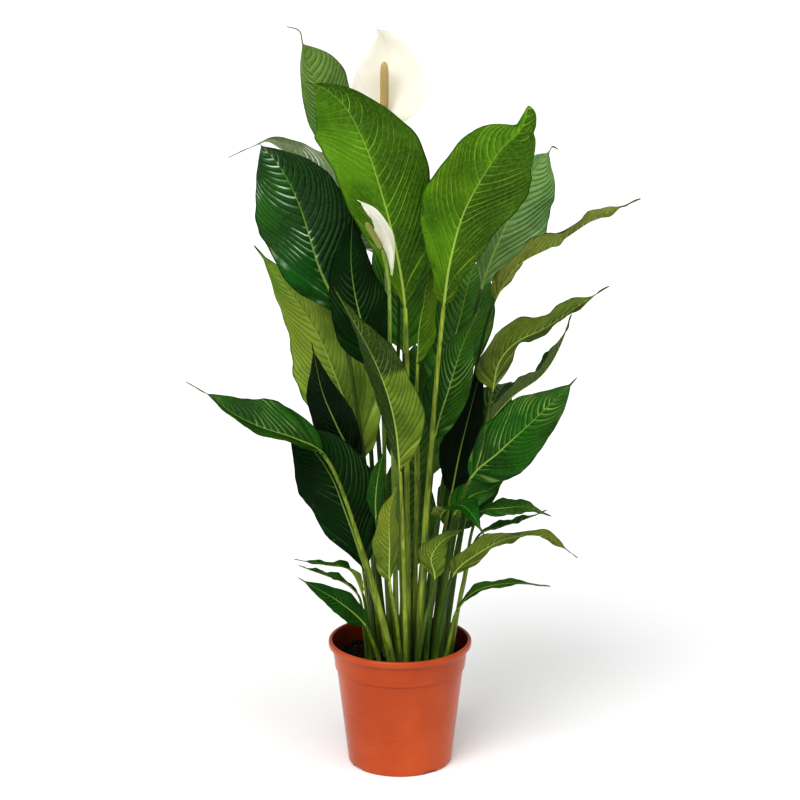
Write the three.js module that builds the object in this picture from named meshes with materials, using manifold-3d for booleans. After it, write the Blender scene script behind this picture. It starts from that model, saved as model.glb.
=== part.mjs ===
// A potted peace lily: a moulded nursery pot, its potting soil, the leaves and two blooms.
// Millimetres, +Z up. The origin is the centre of the pot's base, on the surface it stands on,
// and the front of the plant looks along -Y.
import * as THREE from "three";
import { mergeVertices } from "three/addons/utils/BufferGeometryUtils.js";
import Module from "manifold-3d";

const wasm = await Module();
wasm.setup();

// ---- Driving dimensions -------------------------------------------------------------------

const POT_HEIGHT = 188;
const RIM_RADIUS = 105; // outside of the rolled rim
const RIM_DEPTH = 10;
const RIM_OVERHANG = 7; // the rim stands this far out from the wall under it
const BASE_RADIUS = 76;
const WALL = 2.2;
const COLLAR_HEIGHT = 145; // above here the wall steps out, so that empty pots stack
const COLLAR_STEP = 2.2;
const FLOOR_RISE = 5; // the floor's underside above the table, outside the centre pad
const FLOOR_THICKNESS = 2.4;
const FOOT_WIDTH = 6; // the ring that the pot stands on
const PAD_RADIUS = 26; // centre pad that stands on the table too
const POT_SEGMENTS = 40;
const DRAIN_COUNT = 6;
const DRAIN_RADIUS = 6;
const DRAIN_CIRCLE = 53;
const NOTCH_COUNT = 4; // gaps in the standing ring that let water out
const NOTCH_WIDTH = 28;
const NOTCH_HEIGHT = 4.6;
const NOTCH_ANGLE = -55; // degrees, the notch seen at the right of the front

const SOIL_LEVEL = 163;
const SOIL_CROWN = 4; // the soil rises this much from its edge
const CROWN_RADIUS = 84; // to its level middle
const HOLE_DEPTH = 16;
const HOLE_SIDES = 8;
const GAP = 0.4; // clearance between pieces that touch

const BLADE_THICKNESS = 1;
const BLADE_SPAN = [0.03, 0.99]; // the rows of a blade run from near its neck to near its tip
const TIP_HALF_WIDTH = 0.9;
const TIP_RIDGE = 0.4; // how deep the midrib stands under the blade at the tip
const LEAF_SHAPE = { form: [0.72, 1.15], waves: 3, lopsided: [0, 0], tail: 0.06, tip: 1.6, scallop: 0.05 };
const SCALLOPS = 2.6; // swells of the outline along a blade
const BROAD_COLUMNS = [-1, -0.5, 0, 0.5, 1]; // places across a blade, in half-widths
const NARROW_COLUMNS = [-1, 0, 1];
const NARROW_WIDTH = 50; // blades below this width take the fewer columns
const SPAN_STEPS = 100; // in which the length of a curve is measured, from point to point
const STALK_RINGS = 4;
const BLADE_ROWS = 11;
const SMALL_BLADE_ROWS = 8; // on blades no wider than
const SMALL_BLADE = 70;

const STALK_START = 6; // a stalk stands upright to this height above the soil
const STALK_LEAN = 0.42; // how far a stalk has leant towards its neck
const STALK_RISE = 0.52; // by this share of its height
const CUP = 0.12; // how much the outer part of a blade sinks back, in half-widths

const STEM_FOOT_RADIUS = 3.8;
const STEM_TOP_RADIUS = 2.5;
const STEM_SIDES = 8;
const STEM_RINGS = 9;
const SPATHE_ROWS = 11;
const SPADIX_SIDES = 10;
const SPADIX_ROWS = 16;
const FLORET_RISE = 0.4;

const LOOKS = {
  pot: { color: 0xc4512a, roughness: 0.45 },
  soil: { color: 0x2a1d16, roughness: 0.95 },
  leaf: { color: 0x2f6b1c, roughness: 0.4 },
  stem: { color: 0x6f9440, roughness: 0.5 },
  spathe: { color: 0xf3f1ea, roughness: 0.5 },
  spadix: { color: 0xd9bd84, roughness: 0.8 },
};

// ---- The plant's plan ---------------------------------------------------------------------
// foot: where the stalk enters the soil, seen from above. spine: the midrib from the neck,
// where the blade starts, to the tip. face: the way that the upper side looks.
// fold: how far the halves rise from flat, in degrees. width: across both halves.
// wave: how far the margins rise and dip, and waves how often. form: how the outline rises from the
// neck and falls to the tip. tail: the share of the length that is drawn out thin, and tip its
// half-width. scallop: how far the outline swells and shrinks on its way. lopsided: by what share one
// half is wider and the other narrower, near the neck and at the tip. girth: a spadix's radius.

const LEAVES = {
  leaf_top_right: {
    foot: [26, -42],
    spine: [[61, -90, 711], [72, -112, 792], [91, -126, 859], [133, -136, 934], [163, -132, 966],
      [170, -129, 983], [174, -122, 997]],
    width: 124, face: [0.15, 0.95, 0.3], fold: 14, wave: 7, form: [1.15, 0.68], lopsided: [-0.04, 0.58],
    tail: 0.08, tip: 18, scallop: 0.06,
  },
  leaf_top_centre: {
    foot: [12, -28],
    spine: [[7, -74, 704], [-7, -92, 799], [-25, -100, 871], [-46, -98, 935], [-75, -86, 989],
      [-106, -72, 1013], [-129, -60, 1020]],
    width: 126, face: [-0.1, 0.95, 0.3], fold: 12, wave: 4, form: [1, 0.75], lopsided: [0.24, -0.9],
    tail: 0.03,
  },
  leaf_top_back: {
    foot: [-14, 28],
    spine: [[-56, 88, 765], [-77, 106, 871], [-108, 116, 961], [-128, 118, 1011], [-139, 116, 1045],
      [-144, 113, 1065], [-161, 108, 1072]],
    width: 78, face: [0.2, -0.9, 0.4], fold: 18, wave: 5, form: [2, 0.9], lopsided: [0, -0.95], tail: 0.12,
  },
  leaf_upper_left: {
    foot: [-20, -8],
    spine: [[-86, -25, 680], [-115, -32, 756], [-139, -52, 843], [-154, -50, 877], [-174, -44, 908],
      [-196, -34, 930]],
    width: 136, face: [0.1, -0.95, 0.3], fold: 10, wave: 4, form: [1, 0.95], lopsided: [-0.1, 0.45],
    tail: 0.02,
  },
  leaf_upper_left_arching: {
    foot: [-6, 14],
    spine: [[-11, 32, 745], [-56, 36, 799], [-85, 38, 846], [-119, 38, 885], [-156, 38, 909],
      [-187, 36, 921], [-209, 33, 913], [-243, 30, 898]],
    width: 66, face: [0.1, -0.65, 0.75], fold: 18, wave: 4, tail: 0.16,
  },
  leaf_upper_right_pale: {
    foot: [32, 20],
    spine: [[117, 60, 700], [148, 80, 780], [175, 88, 840], [200, 87, 879], [212, 84, 894],
      [218, 80, 904], [226, 76, 901]],
    width: 104, face: [0.3, -0.9, 0.3], fold: 12, wave: 4, form: [1.15, 0.95], lopsided: [-0.1, -0.25],
    tail: 0.09,
  },
  leaf_upper_right_reaching: {
    foot: [46, 4],
    spine: [[134, 20, 690], [167, 20, 743], [217, 15, 775], [284, 10, 818], [340, 10, 843]],
    width: 66, face: [-0.4, 0.45, 0.78], fold: 20, wave: 6, form: [0.72, 0.9], tail: 0.08,
  },
  leaf_inner_left: {
    foot: [-14, -26],
    spine: [[-30, -58, 610], [-56, -68, 690], [-68, -70, 765], [-65, -64, 850]],
    width: 84, face: [0.2, -0.9, 0.3], fold: 14, wave: 3,
  },
  leaf_inner_upright: {
    foot: [22, -12],
    spine: [[25, -40, 615], [30, -50, 680], [40, -55, 740], [50, -55, 785]],
    width: 56, face: [0.9, 0.3, 0.1], fold: 28, wave: 2,
  },
  leaf_inner_folded: {
    foot: [9, -60],
    spine: [[0, -102, 475], [-10, -132, 570], [-30, -147, 635], [-60, -150, 698], [-92, -146, 752]],
    width: 72, face: [0.5, 0.85, 0.1], fold: 34, wave: 3,
  },
  leaf_mid_right_arching: {
    foot: [64, -6],
    spine: [[132, 0, 564], [141, -10, 610], [164, -15, 640], [206, -12, 661], [251, -8, 691],
      [297, -5, 720]],
    width: 84, face: [-0.4, 0.6, 0.7], fold: 20, wave: 4, tail: 0.1,
  },
  leaf_mid_right_rolled: {
    foot: [60, 24],
    spine: [[125, 40, 497], [158, 45, 540], [202, 50, 572], [230, 50, 616], [247, 50, 665]],
    width: 48, face: [-0.6, 0.2, 0.75], fold: 34, wave: 4,
  },
  leaf_mid_right_broad: {
    foot: [48, -36],
    spine: [[100, -62, 450], [140, -92, 500], [190, -112, 555], [225, -112, 590], [247, -106, 612]],
    width: 92, face: [-0.3, -0.85, 0.45], fold: 12, wave: 3, form: [0.8, 1],
  },
  leaf_mid_right_shaded: {
    foot: [38, -6],
    spine: [[74, -8, 410], [90, -2, 490], [105, 4, 550], [120, 8, 612]],
    width: 62, face: [-0.4, -0.85, 0.3], fold: 12, wave: 3,
  },
  leaf_mid_right_inner: {
    foot: [30, -24],
    spine: [[50, -42, 505], [70, -56, 585], [90, -56, 650], [115, -46, 705]],
    width: 64, face: [-0.3, -0.9, 0.3], fold: 14, wave: 3,
  },
  leaf_mid_left_light: {
    foot: [-30, 6],
    spine: [[-54, -5, 460], [-80, 5, 550], [-113, 15, 635], [-163, 20, 715], [-208, 25, 772]],
    width: 118, face: [0.3, 0.9, 0.2], fold: 12, wave: 4, form: [0.65, 1.1], lopsided: [-0.1, -0.1],
    scallop: 0.1,
  },
  leaf_mid_left_shaded: {
    foot: [-36, -12],
    spine: [[-65, -34, 465], [-90, -46, 525], [-110, -46, 575], [-125, -38, 645]],
    width: 60, face: [-0.2, -0.9, 0.3], fold: 14, wave: 3,
  },
  leaf_mid_left_reaching: {
    foot: [-8, -62],
    spine: [[-108, -104, 500], [-145, -114, 525], [-195, -122, 545], [-235, -122, 566], [-262, -116, 587],
      [-298, -110, 607]],
    width: 90, face: [0.05, -0.3, 0.95], fold: 28, wave: 2.5, form: [0.72, 1.1], tail: 0.14, scallop: 0,
  },
  leaf_low_left_broad: {
    foot: [-14, -46],
    spine: [[-50, -56, 312], [-76, -74, 399], [-99, -80, 462], [-129, -74, 503], [-167, -62, 526]],
    width: 106, face: [-0.1, -0.9, 0.35], fold: 8, wave: 4, form: [1.05, 0.8], lopsided: [-0.12, 0.3],
  },
  leaf_low_left_small: {
    foot: [-30, -46],
    spine: [[-50, -62, 230], [-85, -92, 275], [-115, -107, 300], [-145, -112, 320]],
    width: 38, face: [-0.1, -0.75, 0.6], fold: 14, wave: 2,
  },
  leaf_low_left_thin: {
    foot: [-42, -32],
    spine: [[-54, -52, 275], [-74, -72, 320], [-105, -85, 330], [-150, -95, 342]],
    width: 24, face: [0, -0.15, 1], fold: 25, wave: 2,
  },
  leaf_low_left_thin_back: {
    foot: [-48, -18],
    spine: [[-60, -24, 262], [-82, -32, 286], [-115, -40, 302], [-146, -45, 316]],
    width: 22, face: [0, -0.1, 1], fold: 25, wave: 2,
  },
  leaf_low_centre_small: {
    foot: [-2, -36],
    spine: [[-34, -88, 400], [-34, -94, 440], [-28, -92, 480], [-20, -84, 508]],
    width: 26, face: [-0.3, -0.9, 0.2], fold: 15, wave: 2,
  },
  leaf_low_centre_pale: {
    foot: [2, -46],
    spine: [[-15, -97, 310], [-15, -112, 370], [-15, -122, 420], [-5, -122, 462]],
    width: 45, face: [-0.5, 0.85, 0.1], fold: 28, wave: 2,
  },
  leaf_low_right_shaded: {
    foot: [60, -24],
    spine: [[78, -32, 388], [104, -40, 420], [130, -44, 430], [147, -44, 445]],
    width: 44, face: [-0.2, -0.8, 0.5], fold: 14, wave: 2,
  },
  leaf_low_right_front: {
    foot: [38, -48],
    spine: [[56, -76, 398], [76, -122, 430], [96, -160, 435], [116, -185, 408]],
    width: 56, face: [0, -0.3, 0.95], fold: 15, wave: 3,
  },
  leaf_low_right_bright: {
    foot: [74, -20],
    spine: [[115, -30, 390], [145, -45, 402], [180, -50, 405], [217, -55, 393]],
    width: 36, face: [0, -0.45, 0.9], fold: 12, wave: 2,
  },
  leaf_low_right_thin: {
    foot: [74, 8],
    spine: [[115, -8, 350], [150, -12, 365], [190, -15, 380], [212, -15, 390]],
    width: 22, face: [0, -0.1, 1], fold: 25, wave: 2,
  },
  leaf_low_right_arching: {
    foot: [52, -54],
    spine: [[75, -66, 306], [105, -84, 344], [155, -98, 375], [205, -106, 380], [252, -110, 349]],
    width: 56, face: [0.1, 0.5, 0.86], fold: 14, wave: 4, tail: 0.04,
  },
  leaf_low_right_bent: {
    foot: [26, -60],
    spine: [[50, -88, 310], [45, -108, 350], [60, -113, 375], [97, -97, 392]],
    width: 40, face: [0.2, 0.8, 0.6], fold: 14, wave: 2,
  },
  leaf_low_right_small: {
    foot: [66, -48],
    spine: [[82, -56, 250], [110, -68, 285], [160, -78, 300], [215, -86, 298]],
    width: 22, face: [0, -0.3, 0.95], fold: 20, wave: 2,
  },
  leaf_back_top: {
    foot: [8, 36],
    spine: [[6, 78, 600], [8, 132, 740], [10, 176, 830], [12, 206, 885]],
    width: 104, face: [0, -0.9, 0.4], fold: 14, wave: 4,
  },
  leaf_back_upper_left: {
    foot: [-28, 28],
    spine: [[-50, 84, 540], [-76, 150, 660], [-88, 212, 725], [-88, 258, 722]],
    width: 116, face: [0.2, -0.6, 0.8], fold: 14, wave: 4,
  },
  leaf_back_upper_right: {
    foot: [24, 34],
    spine: [[62, 86, 540], [94, 155, 655], [110, 218, 700], [116, 266, 685]],
    width: 108, face: [-0.2, -0.6, 0.8], fold: 14, wave: 4,
  },
  leaf_back_mid: {
    foot: [14, 20],
    spine: [[28, 96, 400], [25, 166, 512], [24, 222, 566], [24, 262, 572]],
    width: 96, face: [0, -0.5, 0.85], fold: 14, wave: 4, form: [0.55, 1.1],
  },
  leaf_back_mid_left: {
    foot: [-40, 16],
    spine: [[-76, 64, 430], [-104, 124, 520], [-124, 178, 558], [-140, 228, 548]],
    width: 90, face: [0.3, -0.4, 0.85], fold: 14, wave: 4,
  },
  leaf_back_mid_right: {
    foot: [50, 38],
    spine: [[94, 76, 410], [130, 128, 490], [152, 178, 524], [164, 222, 514]],
    width: 86, face: [-0.3, -0.4, 0.85], fold: 14, wave: 4, form: [0.6, 1.1],
  },
  leaf_back_low_left: {
    foot: [-26, 44],
    spine: [[-66, 90, 320], [-102, 158, 388], [-122, 218, 398], [-134, 268, 368]],
    width: 78, face: [0.2, -0.3, 0.93], fold: 14, wave: 4,
  },
  leaf_back_low_right: {
    foot: [36, 50],
    spine: [[80, 96, 320], [118, 162, 385], [140, 222, 395], [154, 270, 365]],
    width: 92, face: [-0.2, -0.3, 0.93], fold: 14, wave: 4, form: [0.5, 1.15],
  },
  leaf_back_low: {
    foot: [2, 56],
    spine: [[4, 110, 250], [8, 140, 330], [10, 152, 405], [8, 148, 466]],
    width: 96, face: [0, -0.95, 0.2], fold: 14, wave: 4,
  },
};

const BLOOMS = {
  high: {
    foot: [6, 2],
    stem: [[-20, 10, 750], [-20, 14, 900], [-22, 18, 968]],
    spathe: [[-21, 21.5, 945], [-17, 34, 980], [-16, 42, 1030], [-24, 38, 1066], [-34, 30, 1082]],
    width: 104, face: [0, -0.97, 0.2], fold: 20, form: [0.55, 0.95], tail: 0.04,
    spadix: [[-22, 18, 969], [-22, 17, 1036]], girth: 6,
  },
  low: {
    foot: [-4, -14],
    stem: [[-14, -110, 640], [-16, -150, 765], [-24, -158, 806]],
    spathe: [[-11.5, -152, 768], [-8, -160, 800], [-13, -170, 836], [-32, -168, 862], [-58, -160, 874]],
    width: 60, face: [-0.85, -0.25, -0.5], fold: 30, form: [1.1, 0.75], tail: 0.04,
    spadix: [[-25, -158, 807], [-46, -160, 844]], girth: 4,
  },
};

// ---- Helpers ------------------------------------------------------------------------------

const radians = THREE.MathUtils.degToRad;
const vector = (p) => new THREE.Vector3(...p);

function solidOf(geometry) {
  const bare = geometry.clone();
  bare.deleteAttribute("normal");
  bare.deleteAttribute("uv");
  const merged = mergeVertices(bare, 1e-4);
  return new wasm.Manifold(
    new wasm.Mesh({
      numProp: 3,
      vertProperties: merged.attributes.position.array,
      triVerts: new Uint32Array(merged.index.array),
    }),
  );
}

function geometryOf(solid) {
  const mesh = solid.getMesh();
  const geometry = new THREE.BufferGeometry();
  geometry.setAttribute("position", new THREE.BufferAttribute(mesh.vertProperties, 3));
  geometry.setIndex(new THREE.BufferAttribute(mesh.triVerts, 1));
  return geometry;
}

function named(name, geometry, look) {
  geometry.computeVertexNormals();
  const mesh = new THREE.Mesh(geometry, new THREE.MeshStandardMaterial({ ...look, metalness: 0 }));
  mesh.name = name;
  return mesh;
}

// A closed skin over rings of equal length. The first half of each ring is the upper side and
// the second half the underside, whose cells are split the same way as those above them.
function skin(rings) {
  const size = rings[0].length;
  const half = size / 2;
  const index = [];
  const at = (ring, k) => ring * size + (k % size);
  for (let ring = 0; ring + 1 < rings.length; ring++)
    for (let k = 0; k < size; k++) {
      const [a, b, c, d] = [at(ring, k), at(ring, k + 1), at(ring + 1, k + 1), at(ring + 1, k)];
      if (k < half) index.push(a, b, c, a, c, d);
      else index.push(a, b, d, b, c, d);
    }
  const last = rings.length - 1;
  for (let k = 0; k + 1 < half; k++) {
    const mirror = size - 1 - k;
    index.push(at(0, k), at(0, mirror), at(0, mirror - 1), at(0, k), at(0, mirror - 1), at(0, k + 1));
    index.push(at(last, k), at(last, k + 1), at(last, mirror - 1));
    index.push(at(last, k), at(last, mirror - 1), at(last, mirror));
  }
  const geometry = new THREE.BufferGeometry();
  const places = rings.flat().flatMap((p) => p.toArray());
  geometry.setAttribute("position", new THREE.Float32BufferAttribute(places, 3));
  geometry.setIndex(index);
  return geometry;
}

// ---- Leaves -------------------------------------------------------------------------------

// Half-width of a blade along its length, as a share of the widest: round at the base, drawn
// out to a narrow tip.
function outline(t, [rise, fall]) {
  const widest = rise / (rise + fall);
  return (t / widest) ** rise * ((1 - t) / (1 - widest)) ** fall;
}

// A stalk is sheathed and thick at its foot and slim at its neck, more so under a broad blade.
function footRadius(leaf) {
  return 3.2 + leaf.width / 62;
}

function neckRadius(leaf) {
  return 1.6 + leaf.width / 90;
}

// The line that stalk and midrib follow: straight up out of the soil, then leaning to the neck.
// Gives the curve, and where on it the last point of the stalk lies.
function stemCurve([x, y], points) {
  const [neckX, neckY, neckZ] = points[0];
  const middle = [
    THREE.MathUtils.lerp(x, neckX, STALK_LEAN),
    THREE.MathUtils.lerp(y, neckY, STALK_LEAN),
    THREE.MathUtils.lerp(SOIL_LEVEL, neckZ, STALK_RISE),
  ];
  const all = [[x, y, SOIL_LEVEL + STALK_START], middle, ...points].map(vector);
  const curve = new THREE.CatmullRomCurve3(all, false, "centripetal");
  curve.arcLengthDivisions = SPAN_STEPS * (all.length - 1);
  const lengths = curve.getLengths();
  return { curve, neckAt: lengths[2 * SPAN_STEPS] / lengths.at(-1) };
}

// Side, normal and place at a point of the spine, with the normal as near to facing as it can be.
function frameAt(curve, u, facing) {
  const place = curve.getPointAt(u);
  const along = curve.getTangentAt(u);
  const side = along.clone().cross(facing).normalize();
  const normal = side.clone().cross(along).normalize();
  return { place, side, normal };
}

function offset(frame, across, up) {
  return frame.place.clone().addScaledVector(frame.side, across).addScaledVector(frame.normal, up);
}

// Points round a stalk, in the order that a blade's ring has.
function stalkRing(frame, radius, count) {
  return Array.from({ length: count }, (_, k) => {
    const angle = Math.PI - ((k + 0.5) * 2 * Math.PI) / count;
    return offset(frame, radius * Math.cos(angle), radius * Math.sin(angle));
  });
}

// The two rings that stand in the soil, and the direction that the stalk's inner side looks.
function footRings([x, y], neck, radius, count) {
  const lean = new THREE.Vector3(x - neck[0], y - neck[1], 0);
  const inward = lean.length() > 1 ? lean.normalize() : new THREE.Vector3(0, 1, 0);
  const side = inward.clone().cross(new THREE.Vector3(0, 0, -1));
  const rings = [2 - HOLE_DEPTH, 3].map((height) => {
    const place = new THREE.Vector3(x, y, SOIL_LEVEL + height);
    return stalkRing({ place, side, normal: inward }, radius, count);
  });
  return { rings, inward };
}

// Half of a blade's width at t: its body's, and past that its tip's.
function halfWidth(t, shape) {
  const body = (shape.width / 2) * outline(Math.min(1, t / (1 - shape.tail)), shape.form);
  return Math.max(TIP_HALF_WIDTH, body, shape.tip * Math.sqrt(1 - t ** 8));
}

function bladeRing(frame, t, shape, columns) {
  const half = halfWidth(t, shape);
  const lopsided = THREE.MathUtils.lerp(...shape.lopsided, t ** 4);
  const slope = Math.tan(radians(shape.fold));
  const swell = Math.sin(Math.PI * t) ** 0.5;
  const ridge = THREE.MathUtils.lerp(shape.ridge, TIP_RIDGE, t);
  const upper = columns.map((v) => {
    const share = Math.abs(v);
    const beat = Math.sin(2 * Math.PI * shape.waves * t + (v > 0 ? 0 : 2));
    const wave = shape.wave * swell * beat * share ** 3;
    const scallop = 1 + shape.scallop * Math.sin(2 * Math.PI * SCALLOPS * t + (v > 0 ? 1 : 4));
    const across = v * half * scallop * (1 - Math.sign(v) * lopsided);
    return { across, up: half * (slope * share - CUP * share * share) + wave, share };
  });
  const top = upper.map(({ across, up }) => offset(frame, across, up));
  const below = upper.map(({ across, up, share }) =>
    offset(frame, across, up - BLADE_THICKNESS - ridge * Math.max(0, 1 - 2 * share)),
  );
  return [...top, ...below.reverse()];
}

function leafGeometry(leaf) {
  const { curve, neckAt } = stemCurve(leaf.foot, leaf.spine);
  const columns = leaf.width < NARROW_WIDTH ? NARROW_COLUMNS : BROAD_COLUMNS;
  const count = columns.length * 2;
  const face = vector(leaf.face).normalize();
  const { rings, inward } = footRings(leaf.foot, leaf.spine[0], footRadius(leaf), count);
  for (let k = 1; k <= STALK_RINGS; k++) {
    const share = k / STALK_RINGS;
    const facing = inward.clone().lerp(face, THREE.MathUtils.smoothstep(share, 0.3, 1));
    const radius = THREE.MathUtils.lerp(footRadius(leaf) * 0.9, neckRadius(leaf), share);
    rings.push(stalkRing(frameAt(curve, neckAt * share, facing), radius, count));
  }
  const shape = { ...LEAF_SHAPE, ridge: neckRadius(leaf), ...leaf };
  const rows = leaf.width > SMALL_BLADE ? BLADE_ROWS : SMALL_BLADE_ROWS;
  for (let row = 0; row < rows; row++) {
    const t = THREE.MathUtils.lerp(...BLADE_SPAN, row / (rows - 1));
    rings.push(bladeRing(frameAt(curve, neckAt + (1 - neckAt) * t, face), t, shape, columns));
  }
  return skin(rings);
}

// ---- Blooms -------------------------------------------------------------------------------

function stemGeometry(bloom) {
  const { curve } = stemCurve(bloom.foot, bloom.stem);
  const { rings } = footRings(bloom.foot, bloom.stem[0], STEM_FOOT_RADIUS, STEM_SIDES);
  const facing = new THREE.Vector3(0, 1, 0);
  for (let k = 1; k <= STEM_RINGS; k++) {
    const radius = THREE.MathUtils.lerp(STEM_FOOT_RADIUS, STEM_TOP_RADIUS, k / STEM_RINGS);
    rings.push(stalkRing(frameAt(curve, k / STEM_RINGS, facing), radius, STEM_SIDES));
  }
  return skin(rings);
}

function spatheGeometry(bloom) {
  const curve = new THREE.CatmullRomCurve3(bloom.spathe.map(vector), false, "centripetal");
  const face = vector(bloom.face).normalize();
  const shape = { ...LEAF_SHAPE, wave: 1.5, waves: 2, scallop: 0, ridge: TIP_RIDGE, ...bloom };
  return skin(
    Array.from({ length: SPATHE_ROWS }, (_, row) => {
      const t = THREE.MathUtils.lerp(...BLADE_SPAN, row / (SPATHE_ROWS - 1));
      return bladeRing(frameAt(curve, t, face), t, shape, BROAD_COLUMNS);
    }),
  );
}

// A blunt column covered in low knobs, one for each floret.
function spadixGeometry(bloom) {
  const curve = new THREE.LineCurve3(...bloom.spadix.map(vector));
  const facing = new THREE.Vector3(0, 1, 0);
  const rings = [];
  for (let row = 0; row <= SPADIX_ROWS; row++) {
    const u = row / SPADIX_ROWS;
    const body = bloom.girth * Math.min(1, 0.55 + 4 * u) * Math.sqrt(Math.max(0.05, 1 - u ** 8));
    const frame = frameAt(curve, u, facing);
    const ring = stalkRing(frame, 1, SPADIX_SIDES).map((p, k) => {
      const knob = row % 2 === k % 2 ? FLORET_RISE : -FLORET_RISE;
      return frame.place.clone().addScaledVector(p.sub(frame.place), body + knob);
    });
    rings.push(ring);
  }
  return skin(rings);
}

// ---- Pot and soil -------------------------------------------------------------------------

// Outside radius of the pot's plain tapering wall.
function potRadius(z) {
  return THREE.MathUtils.lerp(BASE_RADIUS, RIM_RADIUS - RIM_OVERHANG, z / POT_HEIGHT);
}

function lathe(profile) {
  const points = profile.map(([r, z]) => new THREE.Vector2(r, z));
  return new THREE.LatheGeometry(points, POT_SEGMENTS).rotateX(Math.PI / 2);
}

function post(radius, height, sides) {
  return new THREE.CylinderGeometry(radius, radius, height, sides).rotateX(Math.PI / 2);
}

function potGeometry() {
  const underRim = POT_HEIGHT - RIM_DEPTH;
  const floorTop = FLOOR_RISE + FLOOR_THICKNESS;
  const outer = (z) => potRadius(z) + (z > COLLAR_HEIGHT ? COLLAR_STEP : 0);
  const inner = (z) => outer(z) - WALL;
  const profile = [
    [0, 0],
    [PAD_RADIUS, 0],
    [PAD_RADIUS + 3, FLOOR_RISE],
    [BASE_RADIUS - FOOT_WIDTH - 1, FLOOR_RISE],
    [BASE_RADIUS - FOOT_WIDTH, 0],
    [BASE_RADIUS - 2, 0],
    [BASE_RADIUS, 2],
    [outer(COLLAR_HEIGHT), COLLAR_HEIGHT],
    [outer(COLLAR_HEIGHT + 2), COLLAR_HEIGHT + 2],
    [outer(underRim), underRim],
    [RIM_RADIUS - 1.2, underRim + 0.6],
    [RIM_RADIUS, underRim + 3.5],
    [RIM_RADIUS, POT_HEIGHT - 3],
    [RIM_RADIUS - 1.5, POT_HEIGHT - 0.6],
    [RIM_RADIUS - 4, POT_HEIGHT],
    [RIM_RADIUS - 6, POT_HEIGHT - 1.4],
    [inner(underRim), underRim - 2],
    [inner(COLLAR_HEIGHT + 1), COLLAR_HEIGHT + 1],
    [inner(COLLAR_HEIGHT - 1), COLLAR_HEIGHT - 1],
    [inner(floorTop), floorTop],
    [PAD_RADIUS + 2, floorTop],
    [PAD_RADIUS - 1, FLOOR_THICKNESS],
    [0, FLOOR_THICKNESS],
    [0, 0],
  ];
  let pot = solidOf(lathe(profile));
  for (let k = 0; k < DRAIN_COUNT; k++) {
    const drain = post(DRAIN_RADIUS, 4 * floorTop, 12).translate(DRAIN_CIRCLE, 0, 0);
    pot = pot.subtract(solidOf(drain.rotateZ((k * 2 * Math.PI) / DRAIN_COUNT)));
  }
  for (let k = 0; k < NOTCH_COUNT; k++) {
    const notch = new THREE.BoxGeometry(4 * FOOT_WIDTH, NOTCH_WIDTH, 2 * NOTCH_HEIGHT);
    const angle = radians(NOTCH_ANGLE) + (k * 2 * Math.PI) / NOTCH_COUNT;
    pot = pot.subtract(solidOf(notch.translate(BASE_RADIUS, 0, 0).rotateZ(angle)));
  }
  return geometryOf(pot);
}

function soilGeometry(feet) {
  const floor = FLOOR_RISE + FLOOR_THICKNESS + GAP;
  const edge = SOIL_LEVEL - SOIL_CROWN;
  const inner = (z) => potRadius(z) - WALL - 2 * GAP;
  const profile = [
    [0, floor],
    [inner(floor), floor],
    [inner(COLLAR_HEIGHT), COLLAR_HEIGHT],
    [inner(edge), edge],
    [CROWN_RADIUS, SOIL_LEVEL],
    [0, SOIL_LEVEL],
    [0, floor],
  ];
  let soil = solidOf(lathe(profile));
  const reach = 1 / Math.cos(Math.PI / HOLE_SIDES); // so that the flats clear the stalk too
  for (const { foot, radius } of feet) {
    const hole = post((radius + GAP) * reach, 2 * HOLE_DEPTH, HOLE_SIDES);
    soil = soil.subtract(solidOf(hole.translate(foot[0], foot[1], SOIL_LEVEL)));
  }
  return geometryOf(soil);
}

// ---- The whole plant ----------------------------------------------------------------------

const feet = [
  ...Object.values(LEAVES).map((leaf) => ({ foot: leaf.foot, radius: footRadius(leaf) })),
  ...Object.values(BLOOMS).map((bloom) => ({ foot: bloom.foot, radius: STEM_FOOT_RADIUS })),
];

const plant = new THREE.Group();
plant.add(named("pot", potGeometry(), LOOKS.pot));
plant.add(named("soil", soilGeometry(feet), LOOKS.soil));
for (const [name, leaf] of Object.entries(LEAVES)) plant.add(named(name, leafGeometry(leaf), LOOKS.leaf));
for (const [name, bloom] of Object.entries(BLOOMS)) {
  plant.add(named(`bloom_${name}_stem`, stemGeometry(bloom), LOOKS.stem));
  plant.add(named(`bloom_${name}_spathe`, spatheGeometry(bloom), LOOKS.spathe));
  plant.add(named(`bloom_${name}_spadix`, spadixGeometry(bloom), LOOKS.spadix));
}

export default plant;
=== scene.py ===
# The looks of a potted peace lily: fine leaves with ribs and quilting, blooms, soil and a moulded
# pot, each in the place of its plain solid. The stage is in metres, and the plant and its pot are in
# millimetres until their meshes are made.
from functools import cache, cached_property, reduce
from math import cos, pi, radians, sin, sqrt, tan

import bmesh
import bpy
import numpy as np
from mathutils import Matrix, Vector, noise


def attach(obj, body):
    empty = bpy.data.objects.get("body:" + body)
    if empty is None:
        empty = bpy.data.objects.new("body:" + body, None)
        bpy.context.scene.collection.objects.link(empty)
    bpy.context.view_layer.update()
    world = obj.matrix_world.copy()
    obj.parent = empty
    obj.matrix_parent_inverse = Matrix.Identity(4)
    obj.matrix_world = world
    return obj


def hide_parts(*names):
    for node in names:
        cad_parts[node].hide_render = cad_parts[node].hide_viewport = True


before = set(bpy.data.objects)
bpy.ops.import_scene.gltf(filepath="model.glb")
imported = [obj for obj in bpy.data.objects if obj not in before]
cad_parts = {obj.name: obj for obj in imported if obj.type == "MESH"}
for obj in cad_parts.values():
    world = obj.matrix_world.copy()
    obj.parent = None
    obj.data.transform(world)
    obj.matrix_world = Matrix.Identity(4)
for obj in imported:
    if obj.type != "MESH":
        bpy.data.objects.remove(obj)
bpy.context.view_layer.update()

MM = 0.001

# ---- Camera, light and floor

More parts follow.
